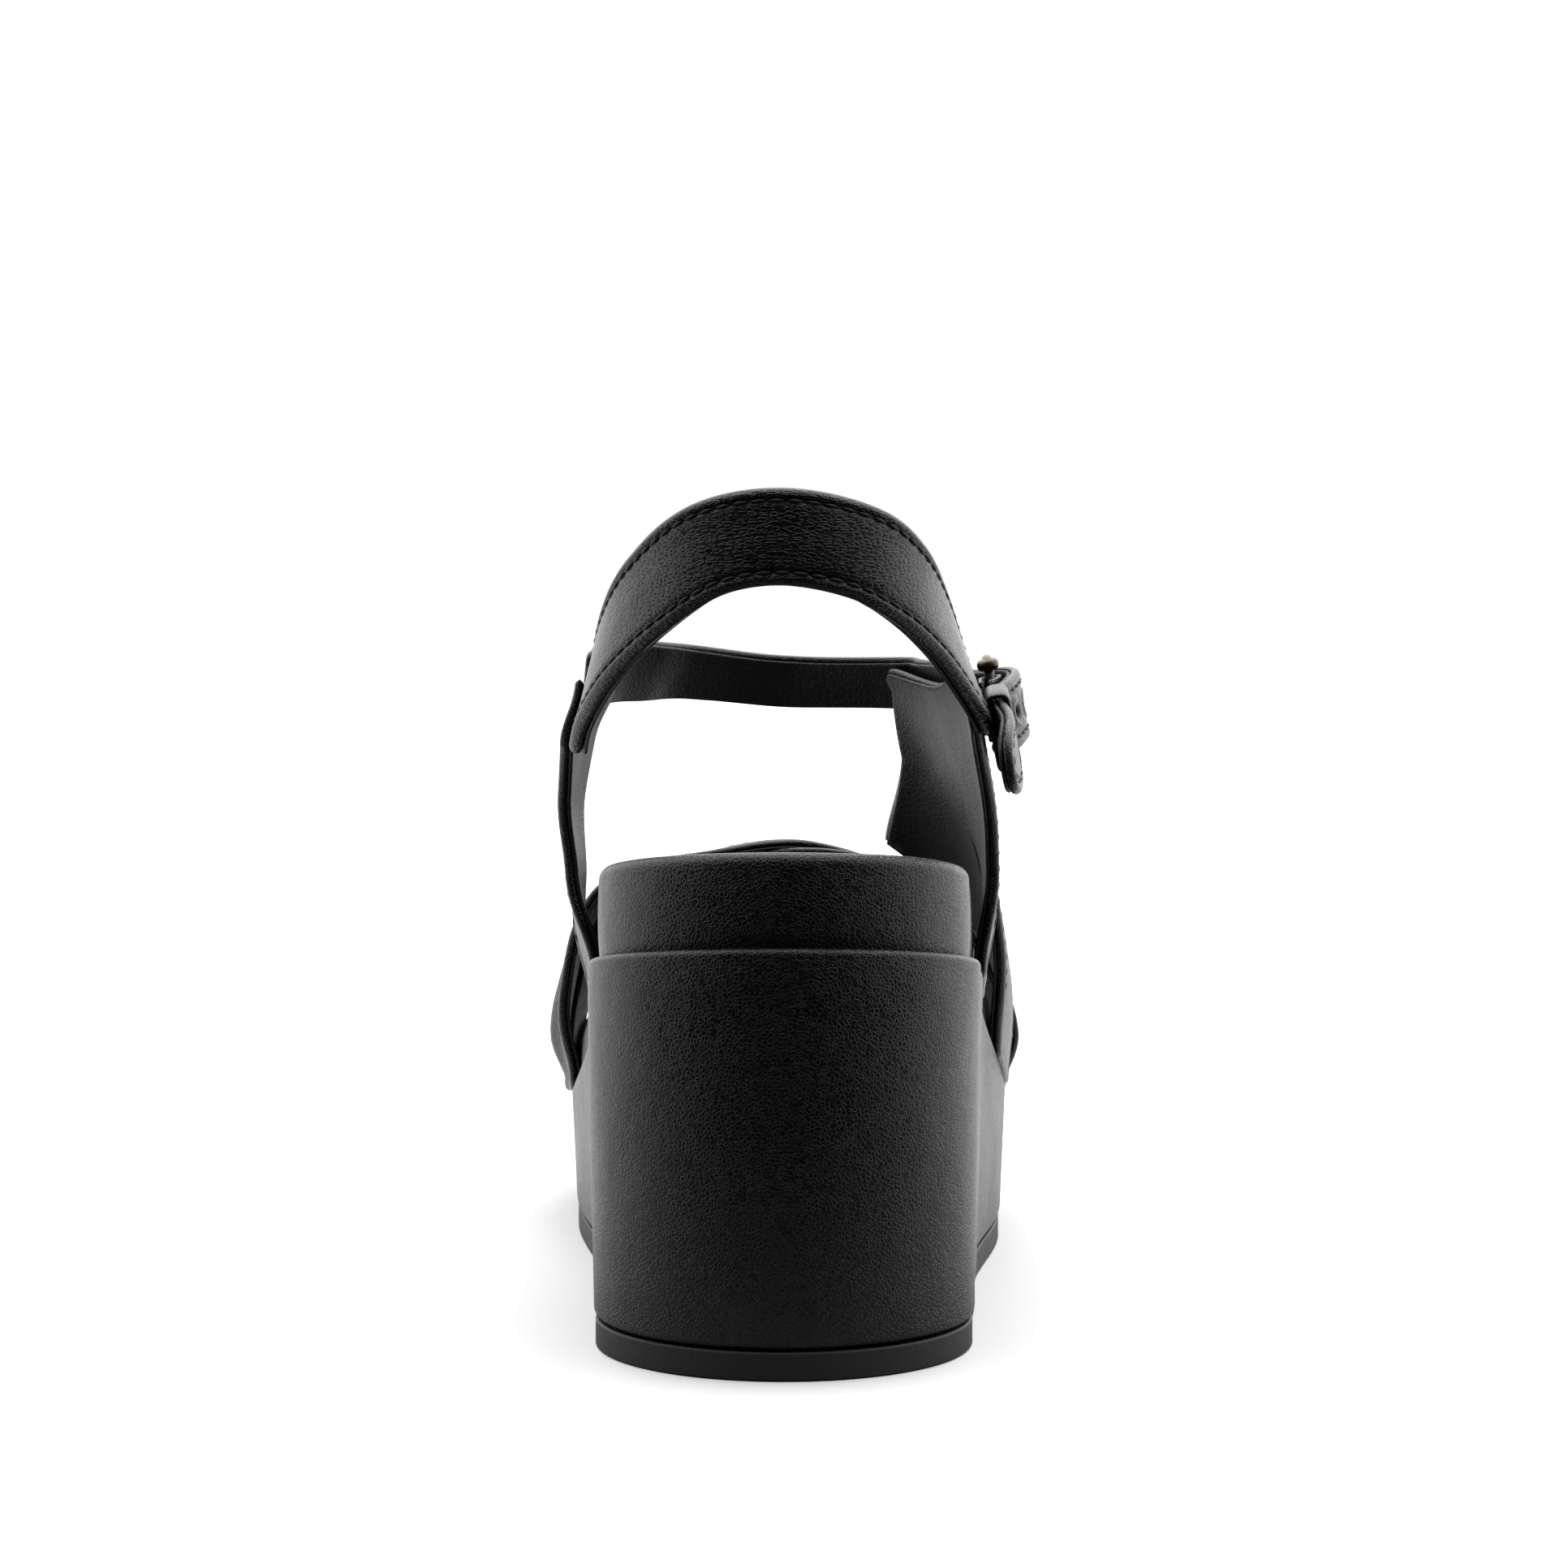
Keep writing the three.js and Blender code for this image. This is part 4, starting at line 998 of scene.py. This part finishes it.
def path_tangents(path, closed):
    """Unit vectors along a line of points, closed or open."""
    ahead, behind = np.roll(path, -1, axis=0), np.roll(path, 1, axis=0)
    if not closed:
        ahead[-1], behind[0] = path[-1], path[0]
    return unit(ahead - behind)


def tube(path, radii, sides, flatten):
    """Vertices and faces of a bar along 3D points, flattened in one direction or the other."""
    path = np.asarray(path, float)
    vertices = []
    up = np.array([1.0, 0, 0])
    for point, tangent, radius in zip(path, path_tangents(path, False), radii):
        side = unit(np.cross(tangent, up))
        up = np.cross(side, tangent)
        for k in range(sides):
            turn = 2 * math.pi * k / sides
            vertices.append(point + radius * (flatten[0] * math.cos(turn) * up
                                              + flatten[1] * math.sin(turn) * side))
    return vertices, swept_faces(len(path), sides)


def bend_path(corners, radius, steps):
    """Straight runs between corners with rounded bends."""
    corners = [np.asarray(corner, float) for corner in corners]
    path = [corners[0]]
    for before, corner, after in zip(corners, corners[1:], corners[2:]):
        bend_from, bend_to = (corner + radius * unit(far - corner) for far in (before, after))
        path += [*quadratic(bend_from, corner, bend_to, steps), bend_to]
    return path + [corners[-1]]


def eye_ring(radius, z, count, thickness, depth):
    """A round eye about the z axis: a ring of bar, deeper along z than it is thick."""
    sides = 12
    vertices, faces = [], []
    for i in range(count):
        a = 2 * math.pi * i / count
        outward = np.array([math.cos(a), math.sin(a), 0])
        point = radius * outward + [0, 0, z]
        for k in range(sides):
            turn = 2 * math.pi * k / sides
            vertices.append(point + thickness * math.cos(turn) * outward
                            + [0, 0, depth * math.sin(turn)])
        faces += ring_faces(i * sides, (i + 1) % count * sides, sides)
    return vertices, faces


def fitted(name, fitting, *shells):
    """One object from shells of (vertices, faces) given in a fitting's axes."""
    vertices, faces = [], []
    for more_vertices, more_faces in shells:
        faces += [tuple(len(vertices) + i for i in face) for face in more_faces]
        vertices += list(more_vertices)
    return new_object(name, fitting.place(vertices), faces)


TONGUE = {"path": ((1.35, 0.8, 0), (1.5, 2.5, 0), (1.5, 5, 0), (1.5, 8, 0), (1.62, 10.6, 0),
                   (1.7, 12, 0), (1.55, 13.1, 0)),
          "radii": (0.75, 0.85, 0.85, 0.8, 0.74, 0.66, 0.3)}


def make_buckle(fitting):
    """The frame with an eye at each end, the pin through them, and the prong on the pin."""
    radius = FRAME["section"] / 2
    half = INSTEP["width"] / 2 + GAP + radius
    reach = FRAME["reach"] - radius
    path = bend_path([(0, 0, -half), (0, reach, -half), (0, reach, half), (0, 0, half)], 2.6, 8)
    bar = tube(path, [radius] * len(path), 16, (0.92, 1.0))
    eyes = [eye_ring(1.35, side * half, 20, 0.62, 1.0) for side in (-1, 1)]
    pin_half = half + radius - 0.1
    ends = (-pin_half, -pin_half + 0.15, pin_half - 0.15, pin_half)
    radii = [PIN["radius"] * share for share in (0.7, 1, 1, 0.7)]
    pin = tube([(0, 0, z) for z in ends], radii, 16, (1, 1))
    tongue = tube(TONGUE["path"], TONGUE["radii"], 14, (0.75, 1.05))
    return (fitted("buckle_loop", fitting, bar, *eyes), fitted("buckle_bar", fitting, pin),
            fitted("buckle_tongue", fitting, eye_ring(1.6, 0, 24, 0.5, 0.85), tongue))


# half of a leather band's cross-section: shares of its half width and of its thickness
BAND_TOP = ((1.0, 0.0), (0.97, 0.3), (0.88, 0.5), (0.78, 0.44), (0.7, 0.5))
BAND_SECTION = (*BAND_TOP, (0, 0.52), *((-a, b) for a, b in reversed(BAND_TOP)),
                (-0.97, -0.3), (-0.88, -0.5), (0, -0.5), (0.88, -0.5), (0.97, -0.3))


def leather_band(name, fitting, path, half, thickness, closed):
    """A leather band along a path in a fitting's x-y or x-z plane, with creased edges."""
    path = np.asarray(path, float)
    axis = np.array([0.0, 1.0, 0.0]) if closed else np.array([0.0, 0.0, 1.0])
    vertices = []
    for point, tangent in zip(path, path_tangents(path, closed)):
        outward = np.cross(tangent, axis)
        vertices += [point + half * a * axis + thickness * b * outward for a, b in BAND_SECTION]
    faces = swept_faces(len(path), len(BAND_SECTION), closed)
    points = np.array(fitting.place(vertices))
    return new_object(name, points, facing_out(points, faces))


def make_keeper(fitting):
    """The loop that holds the strap's loose end down."""
    low = OVER_FLAP + KEEPER["wall"] / 2
    high = low + KEEPER["wall"] + 2 * KEEPER["room"] + UPPER
    half = INSTEP["width"] / 2 + KEEPER["room"] + KEEPER["wall"] / 2
    start = ((low + high) / 2, 0, -half)
    corners = [start, (high, 0, -half), (high, 0, half), (low, 0, half), (low, 0, -half), start]
    path = bend_path(corners, 1.5, 6)[:-1]
    return leather_band("keeper", fitting, path, KEEPER["length"] / 2, KEEPER["wall"], closed=True)


def make_chape(fitting):
    """The leather that holds the pin, in two arms with room for the prong between them."""
    bend = PIN["radius"] + GAP + CHAPE["leather"] / 2
    reach = CHAPE["reach"]
    path = [(-bend, -reach * share) for share in (1, 0.75, 0.5, 0.25)]
    path += [(bend * math.cos(a), bend * math.sin(a)) for a in np.linspace(math.pi, 0, 14)]
    path += [(bend * 0.8, -reach * 0.3), (0.2, -reach * 0.6), (-0.25, -reach)]
    slot_half = 1.25
    band_half = (INSTEP["width"] - 1.6) / 2
    arms = []
    for side in (-1, 1):
        z = side * (band_half + slot_half) / 2
        arms.append(leather_band(f"chape_{side}", fitting, [(x, y, z) for x, y in path],
                                 (band_half - slot_half) / 2, CHAPE["leather"], closed=False))
    return join(arms, "chape")


# --- materials

class Tree:
    """The node tree of a material or a world, built a node at a time."""

    def __init__(self, owner):
        owner.use_nodes = True
        self.tree = owner.node_tree

    def add(self, kind, **inputs):
        node = self.tree.nodes.new("ShaderNode" + kind)
        for key, value in inputs.items():
            self.set(node.inputs[key.replace("_", " ")], value)
        return node

    def set(self, socket, value):
        if isinstance(value, bpy.types.NodeSocket):
            self.tree.links.new(value, socket)
        else:
            socket.default_value = value

    def mapped(self, value, low, high, to_low, to_high, eased=True):
        node = self.add("MapRange", Value=value, From_Min=low, From_Max=high, To_Min=to_low,
                        To_Max=to_high)
        if eased:
            node.interpolation_type = "SMOOTHSTEP"
        return node.outputs["Result"]

    def combined(self, operation, first, second):
        node = self.add("Math")
        node.operation = operation
        self.set(node.inputs[0], first)
        self.set(node.inputs[1], second)
        return node.outputs["Value"]

    def for_camera(self, unseen, seen, output):
        """Ends the tree: a shader for the camera's own rays and one for all others."""
        mix = self.add("MixShader", Fac=self.add("LightPath").outputs["Is Camera Ray"])
        self.set(mix.inputs[1], unseen.outputs[0])
        self.set(mix.inputs[2], seen.outputs[0])
        self.add(output, Surface=mix.outputs["Shader"])


class Finish(Tree):
    """A procedural material around one Principled shader."""

    def __init__(self, name):
        self.material = bpy.data.materials.new(name)
        super().__init__(self.material)
        self.shader = self.tree.nodes["Principled BSDF"]
        self.place = self.add("TexCoord").outputs["Object"]

    def stretched(self, scale):
        return self.add("Mapping", Vector=self.place, Scale=scale).outputs["Vector"]

    def noise(self, vector, scale, detail):
        node = self.add("TexNoise", Vector=vector, Scale=scale, Detail=detail, Roughness=0.55)
        return node.outputs["Fac"]

    def warped(self, vector, scale, amount):
        """A place shifted by noise, so that cells lose their straight edges."""
        shift = self.add("TexNoise", Vector=vector, Scale=scale, Detail=2.0)
        moved = self.add("VectorMath")
        moved.operation = "MULTIPLY_ADD"
        for socket, value in zip(moved.inputs, (shift.outputs["Color"], (amount,) * 3, vector)):
            self.set(socket, value)
        return moved.outputs["Vector"]

    def pebbles(self, vector, scale):
        """Rounded bumps with narrow valleys between them, as in the grain of a hide."""
        cells = self.add("TexVoronoi", Vector=vector, Scale=scale, Randomness=1.0)
        cells.feature = "DISTANCE_TO_EDGE"
        return self.mapped(cells.outputs["Distance"], 0.0, 0.22, 0.0, 1.0)

    def bumped(self, height, depth, normal=None):
        node = self.add("Bump", Height=height, Distance=depth, Strength=1.0)
        if normal is not None:
            self.set(node.inputs["Normal"], normal)
        return node.outputs["Normal"]

    def tinted(self, value, low, high):
        ramp = self.add("ValToRGB", Fac=value)
        for element, colour in zip(ramp.color_ramp.elements, (low, high)):
            element.color = (*colour, 1)
        return ramp.outputs["Color"]

    def finish(self, **inputs):
        for key, value in inputs.items():
            self.set(self.shader.inputs[key.replace("_", " ")], value)
        return self.material


def grained_leather(name, low, high, rough, grain=1500.0, depth=0.00006, stretch=None,
                    rubbed=False):
    """Finished leather: pebbled grain, soft unevenness, and shinier folded edges if rubbed."""
    nodes = Finish(name)
    vector = nodes.stretched(stretch) if stretch else nodes.place
    pores = nodes.noise(vector, grain * 0.28, 2.0)
    cells = nodes.pebbles(nodes.warped(vector, grain * 0.4, 0.0001), grain)
    fine = nodes.noise(vector, grain * 2.6, 2.0)
    normal = nodes.bumped(nodes.noise(nodes.place, 60.0, 2.0), 0.0006)
    for height, share in ((pores, 1.6), (cells, 1.0), (fine, 0.35)):
        normal = nodes.bumped(height, depth * share, normal)
    shine = nodes.mapped(nodes.noise(nodes.place, 60.0, 1.0), 0.3, 0.7, rough - 0.01, rough + 0.03)
    colour = nodes.tinted(nodes.noise(nodes.place, 40.0, 1.0), low, high)
    if rubbed:
        edge = nodes.add("Attribute")
        edge.attribute_name = "edge_distance"
        coat = nodes.mapped(edge.outputs["Fac"], 0.2, 1.4, 0.13, 0.0, eased=False)
        nodes.finish(Coat_Weight=coat, Coat_Roughness=0.25)
    return nodes.finish(Base_Color=colour, Roughness=shine, Normal=normal, Specular_IOR_Level=0.5,
                        Sheen_Roughness=0.5)


def plain_material(name, low, high, rough, scale, bump_scale, bump_depth):
    """A material with slight changes of colour and a fine bump."""
    nodes = Finish(name)
    colour = nodes.tinted(nodes.noise(nodes.place, scale, 3.0), low, high)
    normal = nodes.bumped(nodes.noise(nodes.place, bump_scale, 3.0), bump_depth)
    return nodes.finish(Base_Color=colour, Roughness=rough, Normal=normal)


def brushed_metal(name, low, high, rough):
    nodes = Finish(name)
    scratches = nodes.noise(nodes.stretched((4000.0, 900.0, 900.0)), 1.0, 3.0)
    normal = nodes.bumped(nodes.noise(nodes.place, 500.0, 2.0), 0.00006)
    shine = nodes.mapped(scratches, 0.3, 0.7, rough - 0.06, rough + 0.1)
    colour = nodes.tinted(nodes.noise(nodes.place, 300.0, 2.0), low, high)
    return nodes.finish(Base_Color=colour, Roughness=shine, Metallic=1.0, Normal=normal)


def cork():
    nodes = Finish("cork")
    crumbs = nodes.pebbles(nodes.place, 420.0)
    colour = nodes.tinted(nodes.noise(nodes.place, 500.0, 4.0), (0.2, 0.11, 0.05),
                          (0.5, 0.33, 0.18))
    return nodes.finish(Base_Color=colour, Roughness=0.85, Normal=nodes.bumped(crumbs, 0.0004))


MATERIALS = {
    "wrap": grained_leather("wrap_leather", (0.0010, 0.0010, 0.0013), (0.0018, 0.0018, 0.0022), 0.3),
    "panel": grained_leather("panel_leather", (0.0012, 0.0012, 0.0015), (0.002, 0.002, 0.0024),
                             0.3, rubbed=True),
    "strap": grained_leather("strap_leather", (0.0014, 0.0014, 0.0018), (0.0024, 0.0024, 0.0029),
                             0.32, depth=0.00007, stretch=(0.5, 0.5, 1.2)),
    "lining": grained_leather("lining_leather", (0.0035, 0.0033, 0.0033), (0.006, 0.0056, 0.0056),
                              0.5, grain=900.0, depth=0.00005),
    "rubber": plain_material("rubber", (0.0075, 0.0075, 0.008), (0.0115, 0.0115, 0.012), 0.55,
                             90.0, 1800.0, 0.00008),
    "thread": plain_material("thread", (0.006, 0.006, 0.007), (0.012, 0.012, 0.013), 0.5,
                             900.0, 4000.0, 0.00004),
    "metal": brushed_metal("buckle_metal", (0.1, 0.083, 0.063), (0.17, 0.143, 0.11), 0.3),
    "steel": brushed_metal("steel", (0.45, 0.45, 0.46), (0.6, 0.6, 0.61), 0.35),
    "cork": cork(),
    "board": plain_material("fibreboard", (0.2, 0.14, 0.085), (0.36, 0.27, 0.17), 0.8,
                            700.0, 2500.0, 0.0001),
    "foam": plain_material("foam", (0.62, 0.58, 0.48), (0.74, 0.7, 0.6), 0.9,
                           300.0, 2200.0, 0.0002),
}


# --- assembly

INSIDE = {"wedge_core": "cork", "insole_board": "board", "footbed_foam": "foam", "shank": "steel",
          "shank_rivet_front": "steel", "shank_rivet_rear": "steel"}
QUARTER_EASE = 1.8
VAMP_LIFT = UPPER + GAP
VAMP_INSET = 0.7
BACKING_GAP = 0.02
# two points along the instep strap, in metres; only their presence is read, which leaves the strap's
# pieces baked in place on no body
STRAP_BEND = ("instep_strap", (-0.0335, 0.045, 0.113), (-0.0265, 0.049, 0.113))


def wear(thing, look):
    """Gives an object its only material."""
    thing.data.materials.clear()
    thing.data.materials.append(MATERIALS[look])


def settle(thing, look, body, *nodes, bend=None):
    """Gives a piece its material, hides the CAD nodes it stands for, and puts it on the body it
    follows; with bend set it is only baked in place and joins no body.
    """
    wear(thing, look)
    if nodes:
        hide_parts(*nodes)
    if bend:
        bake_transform(thing)
    else:
        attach(thing, body)
    return thing


def settle_layers(layers, look, name, *more_nodes, bend=None):
    """Settles a strap's or panel's leather, lining and stitches."""
    outer, backing, thread = layers
    settle(outer, look, "sandal", f"{name}_outer", *more_nodes, bend=bend)
    settle(backing, "lining", "sandal", f"{name}_lining", bend=bend)
    settle(thread, "thread", "sandal", bend=bend)


def medial_ease(y, z):
    """The inner quarter stands off a little where the heel strap's end is tucked beneath it."""
    return QUARTER_EASE * smooth((z - 76) / 16) * (1 - smooth((z - 102) / 10))


def upper_panel(name, loop, surface, relief, sewn, spacing=1.7, backing_spacing=2.4):
    """Leather, lining and stitches of one piece of the upper, stitched where sewn(u, v) is true."""
    layers = (leather_panel(name, [loop], surface, LINING, UPPER, spacing, relief=relief),
              leather_panel(f"{name}_backing", [shrink(loop, 0.3)], surface, 0,
                            LINING - BACKING_GAP, backing_spacing, 0, relief),
              stitches_for(f"{name}_thread", loop, surface, UPPER - THREAD_SINK, relief, sewn))
    settle_layers(layers, "panel", name)


def assemble_sole():
    settle(make_rubber_sole(), "rubber", "sandal", "outsole")
    settle(make_wedge_cover(), "wrap", "sandal", "wedge_wrap")
    settle(make_footbed_band(), "wrap", "sandal", "footbed_wrap")
    settle(make_sock(), "lining", "sandal", "sock_lining")
    for node, look in INSIDE.items():
        wear(frame["nodes"][node], look)


def assemble_upper():
    for name, loop, side, relief in (("lateral_quarter", lateral_outline(), LATERAL, None),
                                     ("medial_quarter", medial_outline(), MEDIAL, medial_ease)):
        upper_panel(name, loop, side_surface(side), relief, lambda y, z: z > footbed_top(y) - 3)
    for name, side, lift in (("vamp_under_band", LATERAL, 0.0),
                             ("vamp_over_band", MEDIAL, VAMP_LIFT)):
        upper_panel(name, vamp_outline(side), vamp_surface, vamp_relief(side, lift, VAMP_INSET),
                    lambda u, y: min(u, ARCH_LENGTH - u) > 6, 1.8, 2.6)
    layers = make_heel_strap()
    settle_layers(layers, "strap", "heel_strap", "heel_strap_foam")


def assemble_fastening():
    settle_layers(make_instep_strap(), "panel", "instep_strap", bend=STRAP_BEND)
    buckle_place = Fitting(PIN, PIN_OFFSET)
    loop, bar, tongue = make_buckle(buckle_place)
    settle(loop, "metal", "buckle", "buckle_frame")
    settle(bar, "metal", "buckle", "buckle_pin")
    settle(tongue, "metal", "prong", "buckle_prong")
    settle(make_chape(buckle_place), "panel", "sandal", "buckle_chape")
    settle(make_keeper(Fitting(KEEPER, KEEPER["lift"])), "panel", "sandal", "keeper_loop")


# --- stage, light and camera

FLOOR_HALF = 6.0
# the floor as the leather sees it: its brightness on the viewer's side and beyond the shoe
FLOOR_SHADE = {"from_y": -0.12, "to_y": 0.1, "near": 0.01, "far": 0.75}
# (share of the way from the viewer's side to the far side, brightness there) of the surroundings
SURROUND = [(0.0, 0.012), (0.07, 0.03), (0.17, 0.25), (0.45, 0.8), (0.6, 1.4), (1.0, 2.2)]
SIDE_GAIN = {"left": 0.95, "right": 1.2}
SKY_GAIN = 2.0
WHITE = (1, 1, 1, 1)


def add_floor():
    """A white ground. The leather sees it dark on the viewer's side, as in a shaded studio."""
    mesh = bpy.data.meshes.new("floor")
    corners = [(x * FLOOR_HALF, y * FLOOR_HALF, 0) for x, y in ((-1, -1), (1, -1), (1, 1), (-1, 1))]
    mesh.from_pydata(corners, [], [(0, 1, 2, 3)])
    floor = bpy.data.objects.new("floor", mesh)
    bpy.context.scene.collection.objects.link(floor)
    material = bpy.data.materials.new("floor")
    nodes = Tree(material)
    nodes.tree.nodes.clear()
    seen = nodes.add("BsdfDiffuse", Color=WHITE)
    dim = nodes.add("BsdfDiffuse")
    place = nodes.add("TexCoord")
    parts = nodes.add("SeparateXYZ", Vector=place.outputs["Object"])
    shade = FLOOR_SHADE
    nodes.set(dim.inputs["Color"], nodes.mapped(parts.outputs["Y"], shade["from_y"], shade["to_y"],
                                                shade["near"], shade["far"], eased=False))
    nodes.for_camera(dim, seen, "OutputMaterial")
    mesh.materials.append(material)


def add_surroundings():
    """A studio: dark behind the camera, bright beyond the shoe, above it and on its right."""
    world = bpy.data.worlds.new("studio")
    bpy.context.scene.world = world
    nodes = Tree(world)
    nodes.tree.nodes.clear()
    place = nodes.add("TexCoord")
    parts = nodes.add("SeparateXYZ", Vector=place.outputs["Generated"])
    depth = nodes.add("ValToRGB")
    nodes.set(depth.inputs["Fac"], nodes.mapped(parts.outputs["Y"], -1.0, 1.0, 0.0, 1.0, False))
    peak = max(value for _, value in SURROUND)
    elements = depth.color_ramp.elements
    for element, (position, _) in zip(elements, (SURROUND[0], SURROUND[-1])):
        element.position = position
    for position, _ in SURROUND[1:-1]:
        elements.new(position)
    for element, (_, value) in zip(elements, SURROUND):
        element.color = (value / peak,) * 3 + (1,)
    side = nodes.mapped(parts.outputs["X"], -0.7, 0.7, SIDE_GAIN["left"] * peak,
                        SIDE_GAIN["right"] * peak)
    around = nodes.combined("MULTIPLY", depth.outputs["Color"], side)
    overhead = nodes.mapped(parts.outputs["Z"], 0.25, 0.9, 0.0, SKY_GAIN)
    ahead = nodes.mapped(parts.outputs["Y"], -0.8, 0.1, 0.05, 1.0)
    light = nodes.combined("ADD", around, nodes.combined("MULTIPLY", overhead, ahead))
    background = nodes.add("Background", Strength=light)
    nodes.for_camera(background, nodes.add("Background", Strength=1.0, Color=WHITE), "OutputWorld")


CAMERA = {"distance": 0.569, "height": 0.120, "pitch": 2.47, "lens": 76.8, "sensor": 36.0,
          "near": 0.01}


def add_camera():
    """The viewer's place, straight behind the heel and looking slightly down."""
    data = bpy.data.cameras.new("camera")
    data.lens, data.sensor_width, data.clip_start = CAMERA["lens"], CAMERA["sensor"], CAMERA["near"]
    camera = bpy.data.objects.new("camera", data)
    camera.location = (0, -CAMERA["distance"], CAMERA["height"])
    camera.rotation_euler = (math.radians(90 - CAMERA["pitch"]), 0, 0)
    bpy.context.scene.collection.objects.link(camera)
    bpy.context.scene.camera = camera


assemble_sole()
assemble_upper()
assemble_fastening()
add_floor()
add_surroundings()
add_camera()
bpy.context.scene.view_settings.view_transform = "Standard"
